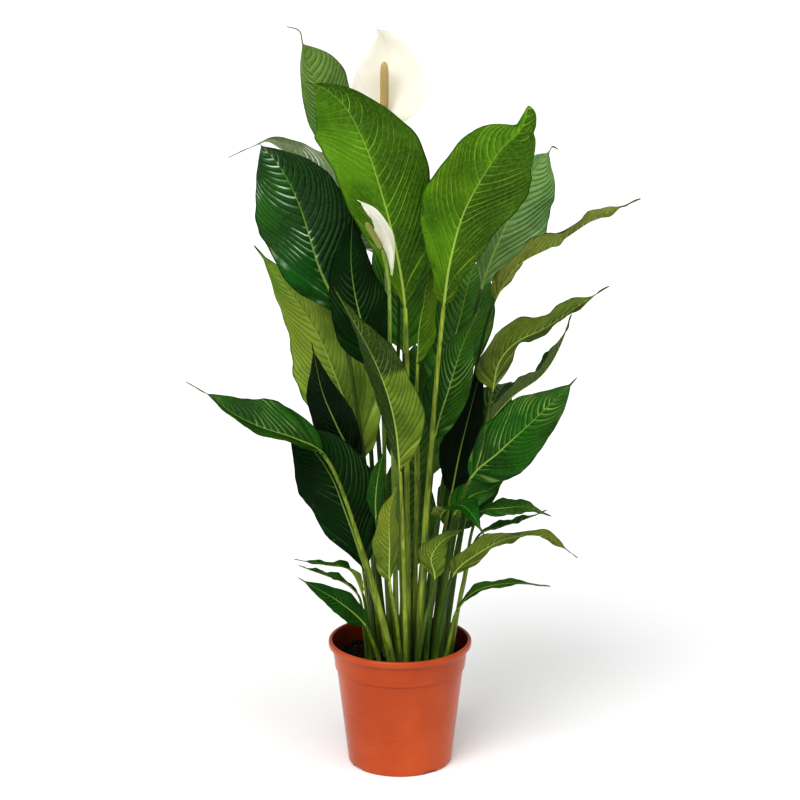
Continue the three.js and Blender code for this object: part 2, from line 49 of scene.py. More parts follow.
CAMERA_PLACE = (0, -4.0, 1.644)
CAMERA_TILT = 15.29  # degrees below the horizon
CAMERA_LENS = 130.0
FLOOR_RADIUS = 30
FLOOR_SHADE = 0.98
SKY_STRENGTH = 0.38
SOFT_BOXES = {  # strength, width, height over the horizon and turn from the front to the right
    "key_light": (1.95, 42, 46, -28),
    "fill_light": (0.8, 54, 50, 40),
}
VIEW_LOOK = "Medium High Contrast"

# ---- The plant's plan
# foot: where the stalk enters the soil, seen from above. spine: the midrib from the neck, where the blade
# starts, to the tip. face: the way that the upper side looks. fold: how far the halves rise from flat, in
# degrees. width: across both halves. wave: how far the margins rise and dip, and waves how often. form: how
# the outline rises from the neck and falls to the tip. tail: the share of the length that is drawn out thin,
# and tip its half-width. scallop: how far the outline swells and shrinks on its way. lopsided: by what share
# one half is wider and the other narrower, near the neck and at the tip. girth: a spadix's radius. upper and
# under: the look of each side. dark: the side of the midrib that is painted darker, in painted shade, as -1
# or 1. stalk: how light its stalk is painted, from -1 to 1; the lighter values, listed for the stalks in
# front, are painted light.

LEAVES = {
    "top_right": dict(
        foot=(26, -42), width=124, face=(0.15, 0.95, 0.3), wave=7, form=(1.15, 0.68),
        lopsided=(-0.04, 0.58), tail=0.08, tip=18, scallop=0.06, under="lime", dark=-1, stalk=0.9,
        spine=[(61, -90, 711), (72, -112, 792), (91, -126, 859), (133, -136, 934), (163, -132, 966),
               (170, -129, 983), (174, -122, 997)]),
    "top_centre": dict(
        foot=(12, -28), width=126, face=(-0.1, 0.95, 0.3), fold=12, form=(1, 0.75),
        lopsided=(0.24, -0.9), tail=0.03, under="lime", dark=-1, stalk=1.0,
        spine=[(7, -74, 704), (-7, -92, 799), (-25, -100, 871), (-46, -98, 935), (-75, -86, 989),
               (-106, -72, 1013), (-129, -60, 1020)]),
    "top_back": dict(
        foot=(-14, 28), width=78, face=(0.2, -0.9, 0.4), fold=18, wave=5, form=(2, 0.9),
        lopsided=(0, -0.95), tail=0.12, upper="pale",
        spine=[(-56, 88, 765), (-77, 106, 871), (-108, 116, 961), (-128, 118, 1011), (-139, 116, 1045),
               (-144, 113, 1065), (-161, 108, 1072)]),
    "upper_left": dict(
        foot=(-20, -8), width=136, face=(0.1, -0.95, 0.3), fold=10, form=(1, 0.95),
        lopsided=(-0.1, 0.45), tail=0.02, upper="deep", dark=1,
        spine=[(-86, -25, 680), (-115, -32, 756), (-139, -52, 843), (-154, -50, 877), (-174, -44, 908),
               (-196, -34, 930)]),
    "upper_left_arching": dict(
        foot=(-6, 14), width=66, face=(0.1, -0.65, 0.75), fold=18, tail=0.16, upper="silver_sheen",
        spine=[(-11, 32, 745), (-56, 36, 799), (-85, 38, 846), (-119, 38, 885), (-156, 38, 909),
               (-187, 36, 921), (-209, 33, 913), (-243, 30, 898)]),
    "upper_right_pale": dict(
        foot=(32, 20), width=104, face=(0.3, -0.9, 0.3), fold=12, form=(1.15, 0.95),
        lopsided=(-0.1, -0.25), tail=0.09, upper="grey_sheen",
        spine=[(117, 60, 700), (148, 80, 780), (175, 88, 840), (200, 87, 879), (212, 84, 894),
               (218, 80, 904), (226, 76, 901)]),
    "upper_right_reaching": dict(
        foot=(46, 4), width=66, face=(-0.4, 0.45, 0.78), fold=20, wave=6, form=(0.72, 0.9), tail=0.08,
        under="gold",
        spine=[(134, 20, 690), (167, 20, 743), (217, 15, 775), (284, 10, 818), (340, 10, 843)]),
    "inner_left": dict(
        foot=(-14, -26), width=84, face=(0.2, -0.9, 0.3), wave=3, upper="shaded_dusk",
        spine=[(-30, -58, 610), (-56, -68, 690), (-68, -70, 765), (-65, -64, 850)]),
    "inner_upright": dict(
        foot=(22, -12), width=56, face=(0.9, 0.3, 0.1), fold=28, wave=2, upper="soft", under="lime",
        stalk=0.6,
        spine=[(25, -40, 615), (30, -50, 680), (40, -55, 740), (50, -55, 785)]),
    "inner_folded": dict(
        foot=(9, -60), width=72, face=(0.5, 0.85, 0.1), fold=34, wave=3, under="folded", dark=1,
        stalk=1.0,
        spine=[(0, -102, 475), (-10, -132, 570), (-30, -147, 635), (-60, -150, 698), (-92, -146, 752)]),
    "mid_right_arching": dict(
        foot=(64, -6), width=84, face=(-0.4, 0.6, 0.7), fold=20, tail=0.1, under="moss",
        spine=[(132, 0, 564), (141, -10, 610), (164, -15, 640), (206, -12, 661), (251, -8, 691),
               (297, -5, 720)]),
    "mid_right_rolled": dict(
        foot=(60, 24), width=48, face=(-0.6, 0.2, 0.75), fold=34, under="shade",
        spine=[(125, 40, 497), (158, 45, 540), (202, 50, 572), (230, 50, 616), (247, 50, 665)]),
    "mid_right_broad": dict(
        foot=(48, -36), width=92, face=(-0.3, -0.85, 0.45), fold=12, wave=3, form=(0.8, 1), upper="rich",
        spine=[(100, -62, 450), (140, -92, 500), (190, -112, 555), (225, -112, 590), (247, -106, 612)]),
    "mid_right_shaded": dict(
        foot=(38, -6), width=62, face=(-0.4, -0.85, 0.3), fold=12, wave=3, upper="shaded_night",
        spine=[(74, -8, 410), (90, -2, 490), (105, 4, 550), (120, 8, 612)]),
    "mid_right_inner": dict(
        foot=(30, -24), width=64, face=(-0.3, -0.9, 0.3), wave=3,
        spine=[(50, -42, 505), (70, -56, 585), (90, -56, 650), (115, -46, 705)]),
    "mid_left_light": dict(
        foot=(-30, 6), width=118, face=(0.3, 0.9, 0.2), fold=12, form=(0.65, 1.1), lopsided=(-0.1, -0.1),
        scallop=0.1, under="meadow", stalk=0.6,
        spine=[(-54, -5, 460), (-80, 5, 550), (-113, 15, 635), (-163, 20, 715), (-208, 25, 772)]),
    "mid_left_shaded": dict(
        foot=(-36, -12), width=60, face=(-0.2, -0.9, 0.3), wave=3, upper="shaded_night",
        spine=[(-65, -34, 465), (-90, -46, 525), (-110, -46, 575), (-125, -38, 645)]),
    "mid_left_reaching": dict(
        foot=(-8, -62), width=90, face=(0.05, -0.3, 0.95), fold=28, wave=2.5, form=(0.72, 1.1),
        tail=0.14, scallop=0, stalk=0.5,
        spine=[(-108, -104, 500), (-145, -114, 525), (-195, -122, 545), (-235, -122, 566),
               (-262, -116, 587), (-298, -110, 607)]),
    "low_left_broad": dict(
        foot=(-14, -46), width=106, face=(-0.1, -0.9, 0.35), fold=8, form=(1.05, 0.8),
        lopsided=(-0.12, 0.3), upper="shaded_dusk", stalk=0.3,
        spine=[(-50, -56, 312), (-76, -74, 399), (-99, -80, 462), (-129, -74, 503), (-167, -62, 526)]),
    "low_left_small": dict(
        foot=(-30, -46), width=38, face=(-0.1, -0.75, 0.6), wave=2, upper="leafy",
        spine=[(-50, -62, 230), (-85, -92, 275), (-115, -107, 300), (-145, -112, 320)]),
    "low_left_thin": dict(
        foot=(-42, -32), width=24, face=(0, -0.15, 1), fold=25, wave=2,
        spine=[(-54, -52, 275), (-74, -72, 320), (-105, -85, 330), (-150, -95, 342)]),
    "low_left_thin_back": dict(
        foot=(-48, -18), width=22, face=(0, -0.1, 1), fold=25, wave=2,
        spine=[(-60, -24, 262), (-82, -32, 286), (-115, -40, 302), (-146, -45, 316)]),
    "low_centre_small": dict(
        foot=(-2, -36), width=26, face=(-0.3, -0.9, 0.2), fold=15, wave=2, upper="leafy",
        spine=[(-34, -88, 400), (-34, -94, 440), (-28, -92, 480), (-20, -84, 508)]),
    "low_centre_pale": dict(
        foot=(2, -46), width=45, face=(-0.5, 0.85, 0.1), fold=28, wave=2, stalk=0.8,
        spine=[(-15, -97, 310), (-15, -112, 370), (-15, -122, 420), (-5, -122, 462)]),
    "low_right_shaded": dict(
        foot=(60, -24), width=44, face=(-0.2, -0.8, 0.5), wave=2,
        spine=[(78, -32, 388), (104, -40, 420), (130, -44, 430), (147, -44, 445)]),
    "low_right_front": dict(
        foot=(38, -48), width=56, face=(0, -0.3, 0.95), fold=15, wave=3, upper="leafy",
        spine=[(56, -76, 398), (76, -122, 430), (96, -160, 435), (116, -185, 408)]),
    "low_right_bright": dict(
        foot=(74, -20), width=36, face=(0, -0.45, 0.9), fold=12, wave=2, upper="fresh",
        spine=[(115, -30, 390), (145, -45, 402), (180, -50, 405), (217, -55, 393)]),
    "low_right_thin": dict(
        foot=(74, 8), width=22, face=(0, -0.1, 1), fold=25, wave=2,
        spine=[(115, -8, 350), (150, -12, 365), (190, -15, 380), (212, -15, 390)]),
    "low_right_arching": dict(
        foot=(52, -54), width=56, face=(0.1, 0.5, 0.86), tail=0.04,
        spine=[(75, -66, 306), (105, -84, 344), (155, -98, 375), (205, -106, 380), (252, -110, 349)]),
    "low_right_bent": dict(
        foot=(26, -60), width=40, face=(0.2, 0.8, 0.6), wave=2, under="moss",
        spine=[(50, -88, 310), (45, -108, 350), (60, -113, 375), (97, -97, 392)]),
    "low_right_small": dict(
        foot=(66, -48), width=22, face=(0, -0.3, 0.95), fold=20, wave=2,
        spine=[(82, -56, 250), (110, -68, 285), (160, -78, 300), (215, -86, 298)]),
    "back_top": dict(
        foot=(8, 36), width=104, face=(0, -0.9, 0.4), upper="soft",
        spine=[(6, 78, 600), (8, 132, 740), (10, 176, 830), (12, 206, 885)]),
    "back_upper_left": dict(
        foot=(-28, 28), width=116, face=(0.2, -0.6, 0.8),
        spine=[(-50, 84, 540), (-76, 150, 660), (-88, 212, 725), (-88, 258, 722)]),
    "back_upper_right": dict(
        foot=(24, 34), width=108, face=(-0.2, -0.6, 0.8), upper="soft",
        spine=[(62, 86, 540), (94, 155, 655), (110, 218, 700), (116, 266, 685)]),
    "back_mid": dict(
        foot=(14, 20), width=96, face=(0, -0.5, 0.85), form=(0.55, 1.1), upper="soft",
        spine=[(28, 96, 400), (25, 166, 512), (24, 222, 566), (24, 262, 572)]),
    "back_mid_left": dict(
        foot=(-40, 16), width=90, face=(0.3, -0.4, 0.85),
        spine=[(-76, 64, 430), (-104, 124, 520), (-124, 178, 558), (-140, 228, 548)]),
    "back_mid_right": dict(
        foot=(50, 38), width=86, face=(-0.3, -0.4, 0.85), form=(0.6, 1.1),
        spine=[(94, 76, 410), (130, 128, 490), (152, 178, 524), (164, 222, 514)]),
    "back_low_left": dict(
        foot=(-26, 44), width=78, face=(0.2, -0.3, 0.93),
        spine=[(-66, 90, 320), (-102, 158, 388), (-122, 218, 398), (-134, 268, 368)]),
    "back_low_right": dict(
        foot=(36, 50), width=92, face=(-0.2, -0.3, 0.93), form=(0.5, 1.15),
        spine=[(80, 96, 320), (118, 162, 385), (140, 222, 395), (154, 270, 365)]),
    "back_low": dict(
        foot=(2, 56), width=94, face=(0, -0.95, 0.2), wave=3, scallop=0.02, upper="soft",
        spine=[(4, 110, 250), (8, 140, 330), (10, 152, 405), (8, 148, 466)]),
}

BLOOMS = {
    "high": dict(
        foot=(6, 2),
        stem=[(-20, 10, 750), (-20, 14, 900), (-22, 18, 968)],
        spathe=[(-21, 21.5, 945), (-17, 34, 980), (-16, 42, 1030), (-24, 38, 1066), (-34, 30, 1082)],
        width=104, face=(0, -0.97, 0.2), fold=20, form=(0.55, 0.95), tail=0.04,
        spadix=[(-22, 18, 969), (-22, 17, 1036)], girth=6),
    "low": dict(
        foot=(-4, -14),
        stem=[(-14, -110, 640), (-16, -150, 765), (-24, -158, 806)],
        spathe=[(-11.5, -152, 768), (-8, -160, 800), (-13, -170, 836), (-32, -168, 862), (-58, -160, 874)],
        width=60, face=(-0.85, -0.25, -0.5), fold=30, form=(1.1, 0.75), tail=0.04,
        spadix=[(-25, -158, 807), (-46, -160, 844)], girth=4),
}

# ---- Sizes, in millimetres

SOIL_LEVEL = 163
HOLE_DEPTH = 16
STALK_START = 6  # where a stalk's curve starts over the soil
STALK_LEAN = 0.42  # how far its middle point is on the way to the neck, seen from above
STALK_RISE = 0.52  # and seen from the side
CUP = 0.12  # how far a blade bends down towards its margins, in half-widths
SPAN_STEPS = 60  # points on each span of a spline

LEAF_SHAPE = dict(
    fold=14, wave=4, waves=3, form=(0.72, 1.15), lopsided=(0, 0), tail=0.06, tip=1.6, scallop=0.05,
    upper="mid", under="olive", dark=0, stalk=None)
SCALLOPS = 2.6
NICKS = 8.7  # smaller dips of the margin along the blade
RIPPLES = 2.9  # of the margin, for each wave
DENTS = (2.3, 2.6)  # along and across
DENT_DEPTH = 0.013  # in widths
ROLLS = 1.1  # of the margins, along the blade
ROLL_DEPTH = 0.03
BLADE_THICKNESS = 0.6
MARGIN_THICKNESS = 0.3
TIP_HALF_WIDTH = 0.5
LAST_ROW = 0.999  # just before the very tip
RIB_COLUMNS = [0, 0.42, 0.78, 1]  # places across the midrib, in its own half-widths
BLADE_COLUMNS = [0.07, 0.18, 0.3, 0.43, 0.56, 0.69, 0.81, 0.91, 0.97, 1]
STALK_ROWS = 26
CHANNEL_DEPTH = 0.22  # of a stalk's inner side, in radii
CHANNEL_SPREAD = 24  # in degrees, as are the next two
WING_PLACE = 42  # from the channel's middle to the wings of the sheath
WING_SPREAD = 15
WING_HEIGHT = 0.2  # in radii
ROWS_PER_VEIN = 6
VEIN_SPACING = 12  # along the midrib of a blade 100 wide
VEIN_SWEEP = 1.8  # how far a vein has run forward at the margin, in half-widths
MOST_SWEEP = 0.48
QUILT_DEPTH = 1.7  # how far the blade swells between veins, on a blade 100 wide

SEED = 7


def smooth(low, high, x):
    t = np.clip((x - low) / (high - low), 0, 1)
    return t * t * (3 - 2 * t)


def lerp(a, b, t):
    return a + (b - a) * t


def unit(v):
    return v / np.linalg.norm(v, axis=-1, keepdims=True)


# ---- Curves and frames

class Path:
    """The centripetal Catmull-Rom curve through the points, by share of its length."""

    def __init__(self, points):
        given = np.array(points, float)
        given = np.vstack([2 * given[0] - given[1], given, 2 * given[-1] - given[-2]])
        t = np.linspace(0, 1, SPAN_STEPS, endpoint=False)[:, None]
        spans = []
        for p0, p1, p2, p3 in zip(given, given[1:], given[2:], given[3:]):
            d0, d1, d2 = (np.linalg.norm(b - a) ** 0.5 for a, b in ((p0, p1), (p1, p2), (p2, p3)))
            m1 = ((p1 - p0) / d0 - (p2 - p0) / (d0 + d1) + (p2 - p1) / d1) * d1
            m2 = ((p2 - p1) / d1 - (p3 - p1) / (d1 + d2) + (p3 - p2) / d2) * d1
            spans.append(
                (2 * t**3 - 3 * t**2 + 1) * p1 + (t**3 - 2 * t**2 + t) * m1
                + (3 * t**2 - 2 * t**3) * p2 + (t**3 - t**2) * m2
            )
        self.places = np.vstack([*spans, given[-2]])
        steps = np.linalg.norm(np.diff(self.places, axis=0), axis=1)
        self.lengths = np.concatenate([[0], np.cumsum(steps)])
        self.length = self.lengths[-1]
        self.tangents = unit(np.gradient(self.places, self.lengths, axis=0))

    def share_at(self, point):
        """The share of the length at which the point of that number lies."""
        return self.lengths[point * SPAN_STEPS] / self.length

    def _read(self, values, share):
        at = np.asarray(share) * self.length
        return np.stack([np.interp(at, self.lengths, values[:, k]) for k in range(3)], -1)

    def frame(self, share, facing):
        """Place, side and normal at shares of the length, the normal as near to facing as it can be."""
        along = unit(self._read(self.tangents, share))
        side = unit(np.cross(along, facing))
        return self._read(self.places, share), side, unit(np.cross(side, along))


def offset(frame_at, across, up):
    place, side, normal = frame_at
    return place + side * across[..., None] + normal * up[..., None]


def stem_path(foot, points):
    (x, y), neck = foot, points[0]
    middle = (lerp(x, neck[0], STALK_LEAN), lerp(y, neck[1], STALK_LEAN),
              lerp(SOIL_LEVEL, neck[2], STALK_RISE))
    return Path([(x, y, SOIL_LEVEL + STALK_START), middle, *points])


# ---- Meshes

def placed(name, data):
    """A new object in the scene."""
    made = bpy.data.objects.new(name, data)
    bpy.context.scene.collection.objects.link(made)
    return made


def mesh_object(name, places, faces, materials, slots=None, values=None, maps=None):
    """An object of those points in millimetres. values are attributes by name, one or three numbers a
    point, and maps the corner places of its bake map."""
    mesh = bpy.data.meshes.new(name)
    mesh.from_pydata((np.asarray(places) * MM).tolist(), [], [list(map(int, f)) for f in faces])
    for material in materials:
        mesh.materials.append(material)
    if slots is not None:
        mesh.polygons.foreach_set("material_index", np.asarray(slots, np.int32))
    for key, value in (values or {}).items():
        value = np.asarray(value, np.float32)
        kind = "FLOAT" if value.ndim == 1 else "FLOAT_VECTOR"
        attribute = mesh.attributes.new(key, kind, "POINT")
        attribute.data.foreach_set("value" if value.ndim == 1 else "vector", value.ravel())
    if maps is not None:
        layer = mesh.uv_layers.new(name="OFBake")
        layer.data.foreach_set("uv", np.asarray(maps, np.float32).ravel())
    mesh.polygons.foreach_set("use_smooth", np.ones(len(mesh.polygons), bool))
    mesh.update()
    return placed(name, mesh)


def stand_for(piece, slot, *nodes):
    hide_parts(*nodes)
    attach(piece, "root")
    return piece


def ring_faces(rows, size):
    """Quads between rows of points in closed rings, numbered by row, with their ring column."""
    row, k = np.meshgrid(np.arange(rows - 1), np.arange(size), indexing="ij")
    after = (k + 1) % size
    near, far = row * size, (row + 1) * size
    quads = np.stack([near + k, near + after, far + after, far + k], -1)
    return quads.reshape(-1, 4), row.ravel(), k.ravel()


# ---- Leaves

def outline(t, form):
    """A blade's width at t as a share of its widest."""
    rise, fall = form
    widest = rise / (rise + fall)
    t = np.clip(t, 0, 1)
    return (t / widest) ** rise * ((1 - t) / (1 - widest)) ** fall


def half_width(t, shape):
    """Half of a blade's width at t: its body's, and past that its drawn-out tip's."""
    body = shape["width"] / 2 * outline(t / (1 - shape["tail"]), shape["form"])
    tip = shape["tip"] * np.sqrt(np.clip(1 - t**8, 0, 1))
    root = lerp(shape["root"], 0, smooth(0, 0.2, t))
    return np.maximum.reduce([body, tip, root, np.full_like(t, TIP_HALF_WIDTH)])


def foot_radius(leaf):
    return 3.2 + leaf["width"] / 62


def ring_columns():
    """Signed shares across the midrib, and across the rest of the blade, for one side of a ring."""
    half = np.array([(c, 0) for c in RIB_COLUMNS] + [(1, w) for w in BLADE_COLUMNS])
    return np.concatenate([-half[:0:-1], half]).T


def margin_swing(t, part, sign, shape, turn):
    """How far the blade leaves its plain fold: waves of the margin, finer ripples and soft dents."""
    swell = np.sin(np.pi * np.clip(t, 0, 1)) ** 0.5
    beat = np.sin(2 * np.pi * shape["waves"] * t + np.where(sign > 0, 0, 2))
    ripple = np.sin(2 * np.pi * RIPPLES * shape["waves"] * t + turn[0] + sign)
    dent = np.sin(2 * np.pi * DENTS[0] * t + turn[1]) * np.sin(DENTS[1] * sign * part + turn[2])
    rolled = ROLL_DEPTH * np.sin(2 * np.pi * ROLLS * t + turn[3] + sign) * part**4
    wave = shape["wave"] * (beat * part**3 + 0.25 * ripple * part**5)
    return swell * (wave + shape["width"] * (DENT_DEPTH * dent + rolled))


def blade_rings(path, neck, shape, rng):
    """The rings of a blade, its upper side first and then its underside backwards, and for each
    point its share across, its place between the side veins, its share along and how far it is rib."""
    rib_share, share = ring_columns()
    sign = np.sign(rib_share)
    rib_share, share = np.abs(rib_share), np.abs(share)
    turn = rng.uniform(0, 2 * np.pi, 6)
    veins = shape["veins"]
    q = np.linspace(0, 1, veins * ROWS_PER_VEIN + 1)[:, None]
    s = q * (1.15 - 0.15 * q) + 0.2 / veins * np.sin(5.4 * np.pi * q + turn[4]) * np.sin(np.pi * q)
    sweep = min(MOST_SWEEP, VEIN_SWEEP * shape["width"] / 2 / (path.length * (1 - neck)))
    t = LAST_ROW * (s + sweep * share**1.3 * smooth(0, 0.12, s) * (1 - s**2))

    half = half_width(t, shape)
    scallop = 1 + shape["scallop"] * np.sin(2 * np.pi * SCALLOPS * t + np.where(sign > 0, 1, 4))
    nick = 1 + 0.2 * shape["scallop"] * np.sin(2 * np.pi * NICKS * t + turn[5] + 2 * sign)
    reach = half * scallop * nick * (1 - sign * lerp(*shape["lopsided"], t**4))
    rib = np.minimum(lerp(shape["rib"], 0.35, t**0.8), reach * 0.8)
    across = np.where(share > 0, lerp(rib, reach, share), rib * rib_share)
    part = across / reach
    slope = tan(radians(shape["fold"]))
    up = half * (slope * part - CUP * part**2) + margin_swing(t, part, sign, shape, turn)

    number = veins * q + np.where(sign < 0, 1 / 3, 0)
    heights = rng.uniform(0.7, 1.2, veins + 2)[np.floor(number).astype(int)]
    quilt = shape["quilt"] * smooth(2, 18, half) * smooth(0, 0.3, share) * (1 - 0.75 * smooth(0.7, 1, share))
    up = up + quilt * (heights * np.abs(np.sin(np.pi * number)) ** 0.8 - 0.6)

    thickness = lerp(BLADE_THICKNESS, MARGIN_THICKNESS, part**4)
    inside = np.clip(1 - rib_share**2, 0, 1) * (share == 0)
    frame_at = path.frame(neck + (1 - neck) * t, unit(np.array(shape["face"], float)))
    upper = offset(frame_at, sign * across, up - 0.2 - 0.35 * rib * inside)
    below = offset(frame_at, sign * across, up - 0.2 - thickness - shape["keel"] * rib * np.sqrt(inside))
    what = np.stack(np.broadcast_arrays(sign * part, number, t, inside), -1)
    return np.concatenate([upper, below[:, ::-1]], 1), np.concatenate([what, what[:, ::-1]], 1)


def stalk_circle(frame_at, radius, count, groove, wing):
    """Points round a stalk in the order of a blade's ring, with a channel along its inner side."""
    angle = pi - (np.arange(count) + 0.5) * 2 * pi / count
    angle = (angle + pi) % (2 * pi) - pi

    def hump(centre, width):
        return np.exp(-(((np.degrees(angle) - centre) / width) ** 2))

    bump = hump(90 - WING_PLACE, WING_SPREAD) + hump(90 + WING_PLACE, WING_SPREAD)
    dip = hump(90, CHANNEL_SPREAD)
    r = radius[:, None] * (1 + wing[:, None] * bump - groove[:, None] * dip)
    place, side, normal = (x[:, None, :] for x in frame_at)
    return place + side * (r * np.cos(angle))[..., None] + normal * (r * np.sin(angle))[..., None]


def stalk_rings(path, neck, foot, neck_place, radii, face, count):
    """The rings of a stalk from under the soil to the neck, and their height shares."""
    lean = np.array([foot[0] - neck_place[0], foot[1] - neck_place[1], 0], float)
    inward = unit(lean) if np.linalg.norm(lean) > 1 else np.array([0, 1, 0.0])
    side = np.cross(inward, (0, 0, -1))
    low_radius, high_radius = radii
    heights = np.array([2 - HOLE_DEPTH, -5, 0, 3], float)
    places = np.array([(foot[0], foot[1], SOIL_LEVEL + h) for h in heights])
    buried = (places, np.tile(side, (4, 1)), np.tile(inward, (4, 1)))
    none = np.zeros(4)
    low = stalk_circle(buried, np.full(4, low_radius), count, none, none)
    share = np.linspace(0, 1, STALK_ROWS + 1)[1:]
    if face is None:
        facing = np.tile((0.0, 1.0, 0.0), (len(share), 1))
    else:
        facing = lerp(inward, face, smooth(0.3, 1, share)[:, None])
    frame_at = path.frame(neck * share, facing)
    radius = lerp(low_radius * lerp(1, 0.9, smooth(0, 0.2, share)), high_radius, share)
    sheath = smooth(0.04, 0.12, share) * (1 - smooth(0.4, 0.62, share))
    groove = CHANNEL_DEPTH * smooth(0.02, 0.1, share) * (face is not None)
    high = stalk_circle(frame_at, radius, count, groove, WING_HEIGHT * sheath * (face is not None))
    return np.concatenate([low, high]), np.concatenate([np.zeros(4), share])


def ring_object(name, rings, joint, materials, slots, end_slots, values=None):
    """A closed skin over rings. slots gives a material for each cell from its row and column. The
    first rings up to joint lie in a narrower band of the bake map."""
    rows, size = rings.shape[:2]
    faces, row, k = ring_faces(rows, size)
    ends = [list(range(size))[::-1], list(range((rows - 1) * size, rows * size))]
    along = np.concatenate([np.linspace(0, 0.24, joint), np.linspace(0.26, 1, rows - joint)])
    edge = np.linspace(0, 1, size + 1)
    corners = [(row, k), (row, k + 1), (row + 1, k + 1), (row + 1, k)]
    maps = 0.004 + 0.992 * np.array([(edge[c], along[r]) for r, c in corners])
    maps = np.concatenate([maps.transpose(2, 0, 1).reshape(-1, 2), np.zeros((2 * size, 2))])
    points = rows * size
    flat = {key: np.reshape(value, (points, -1)).squeeze() for key, value in (values or {}).items()}
    return mesh_object(name, rings.reshape(-1, 3), [*faces.tolist(), *ends], materials,
                       [*slots(row, k).tolist(), *end_slots], flat, maps)


def make_leaf(name, plan, rng):
    width = plan["width"]
    path = stem_path(plan["foot"], plan["spine"])
    neck = path.share_at(2)
    neck_radius = 1.6 + width / 90
    slender = (width / 100) ** 0.5
    spacing = VEIN_SPACING * max(0.6, slender)
    shape = {
        **LEAF_SHAPE, **plan, "root": neck_radius, "rib": neck_radius * 0.85, "keel": 0.9,
        "quilt": QUILT_DEPTH * min(1.1, slender**3),
        "veins": max(7, round(path.length * (1 - neck) / spacing)),
    }
    blade, what = blade_rings(path, neck, shape, rng)
    rows, size = blade.shape[:2]
    face = unit(np.array(plan["face"], float))
    radii = (foot_radius(plan), neck_radius)
    stalk, height = stalk_rings(path, neck, plan["foot"], plan["spine"][0], radii, face, size)
    # the blade grows out of the round stalk over its first rows
    t = what[:, 0, 2]
    root = stalk_circle(path.frame(neck + (1 - neck) * t, face), np.full(rows, neck_radius), size,
                        np.full(rows, CHANNEL_DEPTH), np.zeros(rows))
    blade = lerp(root, blade, smooth(0, 0.05, t)[:, None, None])

    joint = len(stalk)
    what = np.concatenate([np.broadcast_to([0, 0, 0, 1], (joint, size, 4)), what])
    height = np.concatenate([height, np.ones(rows)])
    drawn_tone = rng.uniform(-0.7, 0.1)
    alike = {
        "leaf_stalk": height[:, None],
        "leaf_tint": rng.uniform(-1, 1),
        # which half of the blade gets painted shade
        "leaf_half": shape["dark"],
        "leaf_brown": shape["tip"] < BLUNT_TIP,
        "stalk_tone_and_light": drawn_tone if shape["stalk"] is None else shape["stalk"],
    }
    values = {"leaf_place": what[..., :3], "leaf_rib": what[..., 3]}
    values |= {key: np.broadcast_to(value, what.shape[:2]) for key, value in alike.items()}

    def slots(row, k):
        side = np.where((k < size // 2) | (k == size - 1), 0, 1)
        return np.where(row < joint, 2, side)

    materials = [*(blade_material(side, shape[side]) for side in ("upper", "under")), stalk_material()]
    rings = np.concatenate([stalk, blade])
    piece = ring_object(f"fine_leaf_{name}", rings, joint, materials, slots, [2, 0], values)
    return stand_for(piece, "leaf", f"leaf_{name}")


# ---- Materials

def linear(colour):
    """A colour of 0 to 255 as the eye sees it, in the light that it sends back."""
    c = np.array(colour, float) / 255
    return tuple(np.where(c > 0.04045, ((c + 0.055) / 1.055) ** 2.4, c / 12.92)) + (1,)


class Look:
    """A material under construction, with short ways to add its nodes."""

    def __init__(self, name, **sockets):
        self.material = bpy.data.materials.new(name)
        self.material.use_nodes = True
        self.tree = self.material.node_tree
        self.shader = self.tree.nodes["Principled BSDF"]
        for key, value in sockets.items():
            self.shader.inputs[key.replace("_", " ")].default_value = value

    def node(self, kind, inputs=(), **settings):
        made = self.tree.nodes.new(kind)
        for key, value in settings.items():
            setattr(made, key, value)
        for socket, value in (inputs.items() if isinstance(inputs, dict) else enumerate(inputs)):
            if value is None:
                continue
            if hasattr(value, "is_output"):
                self.tree.links.new(value, made.inputs[socket])
            else:
                made.inputs[socket].default_value = value
        return made

    def math(self, operation, *values):
        return self.node("ShaderNodeMath", values, operation=operation).outputs[0]

    def times(self, *values):
        return reduce(lambda a, b: self.math("MULTIPLY", a, b), values)

    def from_whole(self, value):
        """How far a value is past the nearest whole number, or below 0 before it."""
        return self.math("SUBTRACT", value, self.math("ROUND", value))

    def ramp(self, value, low, high, out_low=0, out_high=1):
        inputs = {"Value": value, "From Min": low, "From Max": high, "To Min": out_low, "To Max": out_high}
        return self.node("ShaderNodeMapRange", inputs, interpolation_type="SMOOTHSTEP").outputs[0]

    @cached_property
    def place(self):
        return self.node("ShaderNodeTexCoord").outputs["Object"]

    def stretched(self, *scale):
        """The place on the object with its three measures scaled."""
        return self.node("ShaderNodeMapping", {"Vector": self.place, "Scale": scale}).outputs[0]

    def noise(self, scale, detail=3, roughness=0.5):
        """Soft spots, as many a metre as scale says, or streaks where scale is a stretched place."""
        inputs = {"Detail": detail, "Roughness": roughness, "Vector": self.place, "Scale": scale}
        if hasattr(scale, "is_output"):
            inputs |= {"Vector": scale, "Scale": 1}
        return self.node("ShaderNodeTexNoise", inputs).outputs["Fac"]

    def mix(self, share, a, b):
        """Colour a with that share of b, each a socket or a colour of 0 to 255."""
        a, b = (c if hasattr(c, "is_output") else linear(c) for c in (a, b))
        return self.node("ShaderNodeMix", {0: share, 6: a, 7: b}, data_type="RGBA").outputs[2]

    def attribute(self, name, output="Fac"):
        return self.node("ShaderNodeAttribute", attribute_name=name).outputs[output]

    def blade_place(self):
        """The share across a blade, the place between its side veins and the share along it."""
        return self.node("ShaderNodeSeparateXYZ", [self.attribute("leaf_place", "Vector")]).outputs

    def set(self, socket, value):
        self.tree.links.new(value, self.shader.inputs[socket])

    def bump(self, height, strength, distance, under=None):
        inputs = {"Height": height, "Strength": strength, "Distance": distance}
        if under is not None:
            inputs["Normal"] = under
        return self.node("ShaderNodeBump", inputs).outputs[0]

    def finished(self, colour, normal):
        self.set("Base Color", colour)
        self.set("Normal", normal)
        return self.material


